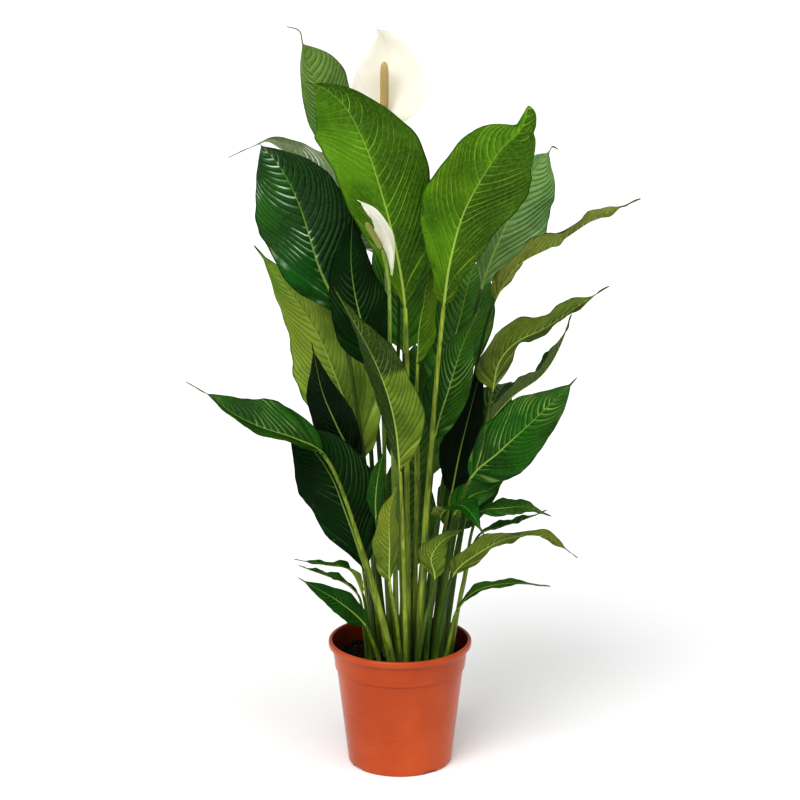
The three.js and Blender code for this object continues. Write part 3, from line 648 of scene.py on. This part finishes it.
SIDES = {  # colours as seen: body, a darker green for random patches and for painted shade, veins and the painted highlight on their flanks, then how strong the painted highlight streaks and the painted shade between veins are, roughness and specular level
    # the streaks and the shade between veins are, roughness and specular level
    "deep": ((14, 80, 10), (2, 26, 3), (84, 134, 62), (210, 228, 206), 0.8, 0.45, 0.3, 0.18),
    # a darker copy of deep for leaves that stand in shade: painted shade
    "shaded_dusk": ((9, 44, 5), (2, 12, 1), (34, 76, 24), (110, 140, 92), 0.25, 0.5, 0.36, 0.08),
    # a still darker copy for leaves deep in shade: painted shade
    "shaded_night": ((7, 28, 5), (2, 10, 2), (26, 60, 20), (70, 106, 60), 0.2, 0.6, 0.4, 0.1),
    "leafy": ((14, 72, 5), (4, 32, 2), (66, 120, 38), (120, 156, 80), 0.2, 0.5, 0.36, 0.1),
    "rich": ((24, 78, 8), (4, 30, 3), (92, 136, 46), (176, 196, 104), 0.5, 0.5, 0.34, 0.16),
    "mid": ((40, 90, 12), (7, 34, 3), (88, 132, 46), (168, 196, 120), 0.4, 0.5, 0.34, 0.16),
    # a lighter copy of mid for leaves in shade at the back and inside: painted light
    "soft": ((66, 122, 24), (18, 60, 8), (120, 160, 66), (160, 190, 108), 0.3, 0.5, 0.36, 0.16),
    "fresh": ((42, 104, 14), (8, 46, 3), (140, 176, 74), (196, 206, 130), 0.5, 0.5, 0.34, 0.16),
    # a pale, whitish copy that stands in for the sheen of light on the upper side: painted sheen
    "silver_sheen": ((128, 150, 100), (52, 84, 36), (196, 208, 172), (240, 244, 230), 0.8, 0.3, 0.36, 0.3),
    # a grey-green copy that stands in for the sheen of light on the upper side: painted sheen
    "grey_sheen": ((110, 146, 80), (50, 92, 34), (146, 176, 124), (184, 206, 162), 0.5, 0.35, 0.4, 0.2),
    # a paler copy for a brightly lit leaf at the top, with a sheen: painted light and sheen
    "pale": ((82, 120, 46), (26, 58, 14), (150, 178, 106), (180, 200, 140), 0.4, 0.35, 0.4, 0.2),
    "lime": ((88, 128, 6), (28, 62, 2), (148, 186, 60), (174, 198, 86), 0.3, 0.25, 0.5, 0.1),
    "gold": ((124, 142, 46), (34, 56, 8), (196, 202, 116), (210, 214, 140), 0.4, 0.5, 0.5, 0.12),
    "meadow": ((128, 154, 48), (44, 82, 14), (160, 178, 90), (190, 206, 118), 0.4, 0.5, 0.5, 0.12),
    "folded": ((112, 138, 34), (6, 42, 6), (150, 172, 78), (176, 194, 98), 0.3, 0.5, 0.5, 0.1),
    "moss": ((86, 110, 26), (14, 34, 4), (152, 166, 78), (182, 190, 104), 0.4, 0.5, 0.5, 0.1),
    "olive": ((106, 126, 32), (34, 56, 6), (168, 182, 84), (184, 192, 104), 0.3, 0.4, 0.5, 0.1),
    "shade": ((74, 98, 38), (12, 32, 6), (132, 150, 80), (166, 172, 116), 0.3, 0.5, 0.5, 0.1),
}
BLUNT_TIP = 5  # the half-width from which a tip stays green
RIB_COLOUR = (158, 184, 84)
TIP_COLOUR = (58, 46, 26)

@cache
def blade_material(side, kind):
    body, shadow, vein, painted_highlight_colour, highlight_strength, depth, roughness, specular = SIDES[kind]
    under = side == "under"
    look = Look(f"leaf_{side}_{kind}", Specular_IOR_Level=specular)
    part, number, along = look.blade_place()
    mottle = look.noise(240, 4, 0.6)
    across = look.math("ABSOLUTE", part)
    half = look.times(part, look.attribute("leaf_half"))
    if kind == "folded":  # painted shade: the tip takes the darker half's shade on both sides
        half = look.math("MAXIMUM", half, look.ramp(along, 0.3, 0.56, -1, 0.15))

    # how far a point is from its side vein: ahead of it above 0, behind it below
    ahead = look.from_whole(number)
    side_number = look.times(look.math("SIGN", part), 99)
    vein_share = look.node(
        "ShaderNodeTexWhiteNoise", {"W": look.math("ADD", look.math("ROUND", number), side_number)},
        noise_dimensions="1D").outputs["Value"]
    line = look.times(
        look.ramp(look.math("ABSOLUTE", ahead), 0, 0.1 if under else 0.08, 1, 0),
        look.ramp(across, 0.4, 0.97, 1, 0.15),
        look.ramp(look.noise(34, 2), 0.36, 0.6, 0.2, 1),
        look.ramp(vein_share, 0.1, 0.8, 0.3, 1),
        look.ramp(half, -0.1, 0.02, 0.45, 1))
    # painted highlight: pale streaks of light along the flanks of the veins, fainter on the darker half
    painted_highlight_mask = look.times(
        look.ramp(ahead, -0.26, -0.08), look.ramp(ahead, 0, 0.07, 1, 0),
        look.ramp(look.noise(19), 0.47, 0.62, 0, highlight_strength),
        look.ramp(half, 0, 0.1, 1, 0.1),
        look.ramp(vein_share, 0.2, 0.7, 0.4, 1))
    # painted shade in the hollows between the veins
    painted_vein_shade = look.times(look.ramp(ahead, 0.03, 0.2), look.ramp(ahead, 0.25, 0.5, 1, 0.2))
    cells = look.math("ADD", look.times(number, 7), look.times(mottle, 0.8))
    fine = look.math("ABSOLUTE", look.from_whole(cells))

    colour = look.mix(look.ramp(look.noise(15, 3, 0.55), 0.36, 0.64, 0.4, 1), shadow, body)
    # painted shade over the half of the blade that the fold turns from the light
    colour = look.mix(look.ramp(half, 0, 0.12, 0, 0.95 if kind == "folded" else 0.75), colour, shadow)
    colour = look.node("ShaderNodeHueSaturation", {
        "Color": colour, "Value": look.math("MULTIPLY_ADD", look.attribute("leaf_tint"), 0.16, 1),
        "Hue": look.ramp(look.noise(6, 1), 0.35, 0.65, 0.482, 0.514)}).outputs[0]
    colour = look.mix(look.ramp(mottle, 0.35, 0.75, 0, 0.16), colour, vein)
    colour = look.mix(look.ramp(fine, 0, 0.35, 0.12, 0), colour, vein)
    colour = look.mix(look.times(painted_vein_shade, depth), colour, shadow)
    colour = look.mix(painted_highlight_mask, colour, painted_highlight_colour)
    colour = look.mix(look.times(line, 0.85 if under else 0.6), colour, vein)
    share = 0.95 if under else 0.7
    rib = look.times(look.ramp(look.attribute("leaf_rib"), 0.05, 0.6),
                     look.ramp(along, 0.15, 0.9, share, share * 0.3))
    colour = look.mix(rib, colour, RIB_COLOUR)
    # painted shade along the margins, which turn away from the light
    colour = look.mix(look.ramp(across, 0.94, 1, 0, 0.85), colour, shadow)
    brown = look.times(look.ramp(along, 0.955, 0.985), look.attribute("leaf_brown"))
    colour = look.mix(brown, colour, TIP_COLOUR)
    look.set("Roughness", look.ramp(mottle, 0.2, 0.8, roughness - 0.05, roughness + 0.1))
    grain = look.bump(look.noise(1400, 2), 0.2, 0.0002)
    return look.finished(colour, look.bump(fine, 0.25, 0.0002, grain))


@cache
def stalk_material():
    look = Look("leaf_stalk", Roughness=0.4, Specular_IOR_Level=0.2)
    height = look.attribute("leaf_stalk")
    tone = look.attribute("stalk_tone_and_light")
    streak = look.noise(look.stretched(420, 420, 9))
    # the listed tones make the stalks in front lighter, as painted light; the rest have a random darker tone
    colour = look.mix(look.ramp(tone, -0.8, 1), (44, 80, 14), (156, 172, 62))
    colour = look.mix(look.ramp(height, 0, 0.2), (96, 118, 52), colour)
    colour = look.mix(look.ramp(look.noise(16, 2), 0.4, 0.62, 0, 0.45), colour, (34, 66, 10))
    colour = look.mix(look.ramp(streak, 0.35, 0.7, 0, 0.6), colour, (28, 58, 8))
    return look.finished(colour, look.bump(streak, 0.35, 0.0004))


@cache
def spathe_material(side):
    look = Look(
        f"spathe_{side}", Roughness=0.5, Specular_IOR_Level=0.3, Subsurface_Weight=0.3,
        Subsurface_Radius=(0.004, 0.004, 0.003), Subsurface_Scale=0.5)
    _, number, along = look.blade_place()
    line = look.ramp(look.math("ABSOLUTE", look.from_whole(number)), 0, 0.14, 0.35, 0)
    colour = look.mix(look.ramp(look.noise(180), 0.3, 0.7, 0, 0.3), (242, 237, 220), (234, 229, 208))
    colour = look.mix(line, colour, (230, 227, 202))
    rib = look.times(look.ramp(look.attribute("leaf_rib"), 0.05, 0.6),
                    look.ramp(along, 0.05, 0.7, 0.8, 0.1))
    colour = look.mix(rib, colour, (172, 196, 120))
    colour = look.mix(look.ramp(along, 0, 0.16, 0.7, 0), colour, (168, 196, 116))
    return look.finished(colour, look.bump(look.noise(900, 2), 0.15, 0.0002))


@cache
def stem_material():
    look = Look("flower_stem", Roughness=0.4)
    streak = look.noise(look.stretched(380, 380, 8))
    colour = look.mix(look.ramp(streak, 0.35, 0.7), (128, 154, 52), (90, 124, 32))
    return look.finished(colour, look.bump(streak, 0.3, 0.0003))


@cache
def spadix_material(bloom):
    """A spadix is green while young and turns cream."""
    groove, floret, speck = SPADIX_COLOURS[bloom]
    look = Look(f"{bloom}_spadix", Roughness=0.75, Specular_IOR_Level=0.2)
    grain = look.noise(700)
    colour = look.mix(look.ramp(look.attribute("floret_crown"), 0.15, 0.8), groove, floret)
    colour = look.mix(look.ramp(grain, 0.35, 0.7, 0, 0.5), colour, speck)
    return look.finished(colour, look.bump(grain, 0.4, 0.0003))


@cache
def pot_material():
    look = Look("pot_plastic", Roughness=0.3, Specular_IOR_Level=0.28)
    cloud = look.noise(9)
    scuff = look.noise(look.stretched(30, 30, 240), 4)
    colour = look.mix(look.ramp(cloud, 0.3, 0.7), (166, 66, 22), (184, 80, 34))
    colour = look.mix(look.ramp(scuff, 0.55, 0.8, 0, 0.1), colour, (202, 114, 66))
    # painted shade: the inner wall, whose faces look towards the axis, is painted darker
    normal = look.node("ShaderNodeTexCoord").outputs["Normal"]
    outward = look.node("ShaderNodeVectorMath", [normal, look.stretched(1, 1, 0)],
                        operation="DOT_PRODUCT").outputs["Value"]
    colour = look.mix(look.ramp(outward, -0.06, -0.02, 0.75, 0), colour, (84, 24, 12))
    look.set("Roughness", look.ramp(scuff, 0.3, 0.8, 0.22, 0.28))
    uneven = look.bump(cloud, 0.12, 0.004)
    return look.finished(colour, look.bump(look.noise(1600, 2), 0.1, 0.0002, uneven))


@cache
def soil_material():
    look = Look("potting_mix", Roughness=0.95, Specular_IOR_Level=0.1)
    crumb = look.noise(420, 5, 0.65)
    colour = look.mix(look.ramp(crumb, 0.35, 0.68), (8, 5, 4), (34, 22, 15))
    colour = look.mix(look.ramp(look.noise(90, 4), 0.4, 0.7, 0, 0.6), colour, (16, 10, 7))
    return look.finished(colour, look.bump(crumb, 0.8, 0.0015))


@cache
def bark_material():
    look = Look("bark_bits", Roughness=0.9, Specular_IOR_Level=0.1)
    grain = look.noise(500, 4)
    colour = look.mix(look.ramp(look.noise(70, 2), 0.4, 0.62), (28, 18, 12), (72, 48, 32))
    colour = look.mix(look.ramp(grain, 0.35, 0.7, 0, 0.6), colour, (24, 17, 13))
    return look.finished(colour, look.bump(grain, 0.6, 0.0008))


# ---- Blooms

STEM_RADII = (3.8, 2.5)
STEM_SIDES = 20
SPADIX_COLOURS = {
    "bloom_high": ((116, 96, 46), (206, 178, 118), (228, 206, 156)),
    "bloom_low": ((80, 88, 28), (150, 156, 84), (178, 180, 116)),
}
FLORET_TURNS = 13  # florets round the spadix
FLORET_ROWS = 34
FLORET_HEIGHT = 0.9


def one_slot(row, k):
    """The first material for every cell."""
    return 0 * row


def make_stem(name, bloom):
    path = stem_path(bloom["foot"], bloom["stem"])
    rings, _ = stalk_rings(path, 1.0, bloom["foot"], bloom["stem"][0], STEM_RADII, None, STEM_SIDES)
    piece = ring_object(f"fine_{name}_stem", rings, 4, [stem_material()], one_slot, [0, 0])
    return stand_for(piece, "stem", f"{name}_stem")


def make_spathe(name, bloom, rng):
    shape = {**LEAF_SHAPE, "wave": 1.5, "waves": 2, "scallop": 0, "root": 2.4, "rib": 1.6, "keel": 0.5,
             "quilt": 0.25, "veins": 18, **bloom}
    rings, what = blade_rings(Path(bloom["spathe"]), 0.0, shape, rng)
    half = rings.shape[1] // 2
    values = {"leaf_place": what[..., :3], "leaf_rib": what[..., 3]}
    materials = [spathe_material("front"), spathe_material("back")]
    piece = ring_object(f"fine_{name}_spathe", rings, 2, materials,
                        lambda row, k: np.where(k < half, 0, 1), [1, 0], values)
    return stand_for(piece, "spathe", f"{name}_spathe")


def make_spadix(name, bloom):
    """A blunt column wrapped in domed florets, each row turned by half a floret."""
    foot, tip = (np.array(p, float) for p in bloom["spadix"])
    along = unit(tip - foot)
    side = unit(np.cross(along, (0, 1, 0)))
    normal = np.cross(side, along)
    length = np.linalg.norm(tip - foot)
    around, rows = FLORET_TURNS * 6, FLORET_ROWS * 5
    u = np.linspace(0, 1, rows + 1)[:, None]
    angle = np.linspace(0, 2 * np.pi, around, endpoint=False)[None, :]
    body = (bloom["girth"] - 0.6) * np.minimum(1, 0.6 + 4 * u) * np.sqrt(np.maximum(0.0, 1 - u**9))
    row = u * FLORET_ROWS
    row_number = np.floor(row)
    turn = angle / (2 * np.pi) * FLORET_TURNS + 0.5 * (row_number % 2)
    dx = (turn - np.round(turn)) * 2
    dy = (row - row_number - 0.5) * 2
    dome = np.sqrt(np.clip(1 - dx**2 * 0.9 - dy**2 * 0.8, 0, 1))
    pit = np.exp(-(dx**2 + dy**2) * 14)
    radius = np.maximum(0.15, body + (FLORET_HEIGHT * dome - 0.35 * pit) * np.minimum(1, body / 2.5))
    x, y = radius * np.cos(angle), radius * np.sin(angle)
    rings = foot + along * (u * length)[..., None] + side * x[..., None] + normal * y[..., None]
    piece = ring_object(f"fine_{name}_spadix", rings, 2, [spadix_material(name)], one_slot, [0, 0],
                        {"floret_crown": dome})
    return stand_for(piece, "spadix", f"{name}_spadix")


# ---- Pot and soil

POT_HEIGHT = 188
RIM_RADIUS = 105
RIM_DEPTH = 10
RIM_OVERHANG = 7
BASE_RADIUS = 76
WALL = 2.2
COLLAR_HEIGHT = 145
COLLAR_STEP = 2.2
FLOOR_RISE = 5
FLOOR_THICKNESS = 2.4
FOOT_WIDTH = 6
PAD_RADIUS = 26
POT_SEGMENTS = 144
DRAIN_COUNT, DRAIN_RADIUS, DRAIN_CIRCLE = 6, 6, 53
NOTCH_COUNT, NOTCH_WIDTH, NOTCH_HEIGHT, NOTCH_ANGLE = 4, 28, 4.6, -55
SOIL_GRID = (64, 240)  # rings and spokes
SOIL_BUMPS = [(2.2, 0.07), (1.6, 0.21), (0.9, 0.55)]  # height and pitch
SOIL_DIP = 4  # towards the wall
SOIL_HEAP = 1.6  # round a stalk
CRUMB_COUNT = 620
CRUMB_REACH = 94
SMALL_CRUMBS, LARGE_CRUMBS = (0.9, 2.2), (2.2, 4.2)
SMALL_SHARE = 0.8
BARK_SHARE = 0.45


def pot_radius(z):
    return lerp(BASE_RADIUS, RIM_RADIUS - RIM_OVERHANG, z / POT_HEIGHT)


def bow(centre, radius, start, end, steps):
    """Points on an arc in the profile's plane, by angle in degrees."""
    angles = np.radians(np.linspace(start, end, steps))
    return [(centre[0] + radius * cos(a), centre[1] + radius * sin(a)) for a in angles]


def pot_profile():
    """The pot's section as distance from the axis and height, from the floor's middle outwards."""
    under = POT_HEIGHT - RIM_DEPTH
    floor_top = FLOOR_RISE + FLOOR_THICKNESS

    def outer(z):
        return pot_radius(z) + COLLAR_STEP * float(smooth(COLLAR_HEIGHT, COLLAR_HEIGHT + 2, z))

    wall = [(outer(z), z) for z in (*np.linspace(4, COLLAR_HEIGHT, 24), COLLAR_HEIGHT + 0.6,
                                     COLLAR_HEIGHT + 1.4, *np.linspace(COLLAR_HEIGHT + 2, under - 1.5, 7))]
    inside = [(outer(z) - WALL, z) for z in (*np.linspace(under - 2, COLLAR_HEIGHT + 2, 6),
                                             *np.linspace(COLLAR_HEIGHT, floor_top + 3, 16))]
    ring = BASE_RADIUS - FOOT_WIDTH
    lip = RIM_RADIUS - 3.2
    return [
        (0, 0), (PAD_RADIUS - 1, 0), *bow((PAD_RADIUS - 1, 1), 1, -90, -20, 4),
        (PAD_RADIUS + 2, FLOOR_RISE - 0.6), (PAD_RADIUS + 3, FLOOR_RISE),
        (ring - 1.4, FLOOR_RISE), (ring - 1, FLOOR_RISE - 0.6), (ring, 0.4), (ring + 0.5, 0),
        *bow((BASE_RADIUS - 2.6, 2.6), 2.6, -90, -8, 7), *wall,
        (outer(under) + 0.8, under), *bow((lip, under + 3.2), 3.2, -90, 0, 7),
        *bow((RIM_RADIUS - 3, POT_HEIGHT - 3), 3, 0, 90, 8),
        *bow((RIM_RADIUS - 4, POT_HEIGHT - 2), 2, 100, 170, 5), *inside,
        *bow((BASE_RADIUS - 5.4, floor_top + 3), 3, 0, -90, 6),
        (PAD_RADIUS + 3, floor_top), (PAD_RADIUS - 1, FLOOR_THICKNESS), (0, FLOOR_THICKNESS),
    ]


def built(name, build):
    """An object whose mesh is made by build in a bmesh, in metres."""
    mesh = bpy.data.meshes.new(name)
    shape = bmesh.new()
    build(shape)
    shape.to_mesh(mesh)
    shape.free()
    return placed(name, mesh)


def cut(piece, tool):
    """Cuts the tool out of the piece and removes the tool."""
    modifier = piece.modifiers.new("cut", "BOOLEAN")
    modifier.object, modifier.operation, modifier.solver = tool, "DIFFERENCE", "EXACT"
    bpy.context.view_layer.update()
    result = bpy.data.meshes.new_from_object(piece.evaluated_get(bpy.context.evaluated_depsgraph_get()))
    piece.modifiers.clear()
    piece.data = result
    bpy.data.objects.remove(tool)


def round_post(tool, radius, depth, segments):
    """The points of an upright round post in the middle of a bmesh, its sizes in metres."""
    made = bmesh.ops.create_cone(
        tool, cap_ends=True, segments=segments, radius1=radius, radius2=radius, depth=depth)
    return made["verts"]


def facing(way, axis, up):
    """The turn that makes that axis look along way."""
    return Vector(way).to_track_quat(axis, up).to_matrix()


def make_pot():
    def wall(shape):
        profile = [shape.verts.new((r * MM, 0, z * MM)) for r, z in pot_profile()]
        edges = [shape.edges.new(pair) for pair in zip(profile, profile[1:])]
        bmesh.ops.spin(shape, geom=profile + edges, cent=(0, 0, 0), axis=(0, 0, 1), angle=2 * pi,
                       steps=POT_SEGMENTS, use_merge=True)
        bmesh.ops.remove_doubles(shape, verts=shape.verts, dist=1e-6)
        bmesh.ops.recalc_face_normals(shape, faces=shape.faces)

    def drains(tool):
        for k in range(DRAIN_COUNT):
            angle = k * 2 * pi / DRAIN_COUNT
            post = round_post(tool, DRAIN_RADIUS * MM, 0.03, 32)
            spot = Vector((cos(angle), sin(angle), 0)) * DRAIN_CIRCLE * MM
            bmesh.ops.translate(tool, verts=post, vec=spot)

    def notches(tool):
        for k in range(NOTCH_COUNT):
            angle = radians(NOTCH_ANGLE) + k * 2 * pi / NOTCH_COUNT
            post = round_post(tool, NOTCH_WIDTH / 2 * MM, 0.024, 24)
            bmesh.ops.rotate(tool, verts=post, matrix=facing((1, 0, 0), "Z", "Y"))
            bmesh.ops.scale(tool, verts=post, vec=(1, 1, NOTCH_HEIGHT / (NOTCH_WIDTH / 2)))
            bmesh.ops.translate(tool, verts=post, vec=(BASE_RADIUS * MM, 0, 0))
            outwards = facing((cos(angle), sin(angle), 0), "X", "Z")
            bmesh.ops.rotate(tool, verts=post, cent=(0, 0, 0), matrix=outwards)

    piece = built("moulded_pot", wall)
    cut(piece, built("drains", drains))
    cut(piece, built("notches", notches))
    piece.data.materials.clear()
    piece.data.materials.append(pot_material())
    piece.data.shade_smooth()
    piece.data.set_sharp_from_angle(angle=radians(35))
    return stand_for(piece, "pot", "pot")


@cache
def stalk_feet():
    """Where each stalk enters the soil, and how thick it is there."""
    leaves = [(*leaf["foot"], foot_radius(leaf)) for leaf in LEAVES.values()]
    return np.array(leaves + [(*bloom["foot"], STEM_RADII[0]) for bloom in BLOOMS.values()])


def gap_to_stalks(x, y):
    """How far places on the soil are from the side of the nearest stalk."""
    at_x, at_y, thick = stalk_feet().T
    apart = np.hypot(np.expand_dims(x, -1) - at_x, np.expand_dims(y, -1) - at_y)
    return (apart - thick).min(axis=-1)


def make_soil():
    """A rough crumbly surface that heaps a little round the stalks, closed by a plain body below."""
    floor = FLOOR_RISE + FLOOR_THICKNESS + 0.4
    rings, spokes = SOIL_GRID
    edge_radius = pot_radius(SOIL_LEVEL - 4) + COLLAR_STEP - WALL - 0.6
    radius = edge_radius * np.linspace(0.004, 1, rings)
    angle = np.linspace(0, 2 * pi, spokes, endpoint=False)
    x = np.outer(radius, np.cos(angle))
    y = np.outer(radius, np.sin(angle))
    spots = [Vector((*spot, 0)) for spot in zip(x.flat, y.flat)]
    bumps = [sum(high * noise.noise(spot * pitch) for high, pitch in SOIL_BUMPS) for spot in spots]
    z = SOIL_LEVEL - 1.5 + np.reshape(bumps, x.shape)
    z -= SOIL_DIP * smooth(84, edge_radius, radius)[:, None]
    z += SOIL_HEAP * np.exp(-np.clip(gap_to_stalks(x, y), 0, None) / 3)
    low = [(pot_radius(h) - WALL - 0.8, h) for h in (COLLAR_HEIGHT, 90, floor + 4)]
    low.append((pot_radius(floor) - WALL - 5, floor))
    places = [np.stack([x, y, z], -1).reshape(-1, 3)]
    for r, h in low:
        places.append(np.stack([r * np.cos(angle), r * np.sin(angle), np.full(spokes, float(h))], -1))
    places = np.concatenate(places)
    rows = rings + len(low)
    faces, _, _ = ring_faces(rows, spokes)
    faces = faces[:, ::-1]
    closing = [list(range(spokes)), list(range((rows - 1) * spokes, rows * spokes))[::-1]]
    piece = mesh_object("potting_mix", places, [*faces.tolist(), *closing], [soil_material()])
    return stand_for(piece, "soil", "soil")


def make_crumbs(rng):
    """Loose lumps of peat and bark lying on the soil, each one a small broken stone shape."""
    lump = bmesh.new()
    bmesh.ops.create_icosphere(lump, subdivisions=1, radius=1)
    base = np.array([v.co for v in lump.verts])
    base_faces = np.array([[v.index for v in f.verts] for f in lump.faces])
    lump.free()
    places, faces, slots = [], [], []
    while len(places) < CRUMB_COUNT:
        r, a = CRUMB_REACH * sqrt(rng.uniform()), rng.uniform(0, 2 * pi)
        x, y = r * cos(a), r * sin(a)
        size = rng.uniform(*(SMALL_CRUMBS if rng.uniform() < SMALL_SHARE else LARGE_CRUMBS))
        if gap_to_stalks(x, y) < size * 0.7 or r > CRUMB_REACH - size:
            continue
        stretch = rng.uniform((0.8, 0.6, 0.35), (1.7, 1, 0.7)) * size
        shape = base * (1 + rng.uniform(-0.22, 0.22, (len(base), 1))) * stretch
        turn = rng.uniform(0, 2 * pi)
        tilt = rng.uniform(-0.5, 0.5)
        c, s, ct, st = cos(turn), sin(turn), cos(tilt), sin(tilt)
        shape = shape @ np.array([[ct, 0, st], [0, 1, 0], [-st, 0, ct]]).T
        shape = shape @ np.array([[c, -s, 0], [s, c, 0], [0, 0, 1]]).T
        ground = SOIL_LEVEL - 1.2 - SOIL_DIP * float(smooth(84, 98, r))
        faces += (base_faces + len(places) * len(base)).tolist()
        slots += [int(rng.uniform() < BARK_SHARE)] * len(base_faces)
        places.append(shape + (x, y, ground + size * 0.25))
    materials = [soil_material(), bark_material()]
    piece = mesh_object("soil_crumbs", np.concatenate(places), faces, materials, slots)
    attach(piece, "root")
    return piece


# ---- Stage

def make_stage():
    disc = built("floor", lambda shape: bmesh.ops.create_circle(
        shape, cap_ends=True, segments=96, radius=FLOOR_RADIUS))
    look = Look("floor_paper", Roughness=0.9, Base_Color=(FLOOR_SHADE, FLOOR_SHADE, FLOOR_SHADE, 1))
    disc.data.materials.append(look.material)

    scene = bpy.context.scene
    scene.camera = placed("camera", bpy.data.cameras.new("camera"))
    scene.camera.location = CAMERA_PLACE
    scene.camera.rotation_euler = (radians(90 - CAMERA_TILT), 0, 0)
    scene.camera.data.lens = CAMERA_LENS

    scene.world = bpy.data.worlds.new("studio")
    scene.world.use_nodes = True
    sky = scene.world.node_tree.nodes["Background"]
    sky.inputs["Color"].default_value = (1, 1, 1, 1)
    sky.inputs["Strength"].default_value = SKY_STRENGTH

    for name, (strength, width, height, turn) in SOFT_BOXES.items():
        light = placed(name, bpy.data.lights.new(name, "SUN"))
        light.data.energy = strength
        light.data.angle = radians(width)
        light.rotation_euler = (radians(90 - height), 0, radians(turn))
    scene.view_settings.view_transform = "Standard"
    scene.view_settings.look = VIEW_LOOK


make_stage()
random = np.random.default_rng(SEED)
for leaf_name, leaf_plan in LEAVES.items():
    make_leaf(leaf_name, leaf_plan, random)
for bloom_name, bloom_plan in BLOOMS.items():
    make_stem(f"bloom_{bloom_name}", bloom_plan)
    make_spathe(f"bloom_{bloom_name}", bloom_plan, random)
    make_spadix(f"bloom_{bloom_name}", bloom_plan)
make_pot()
make_soil()
make_crumbs(random)
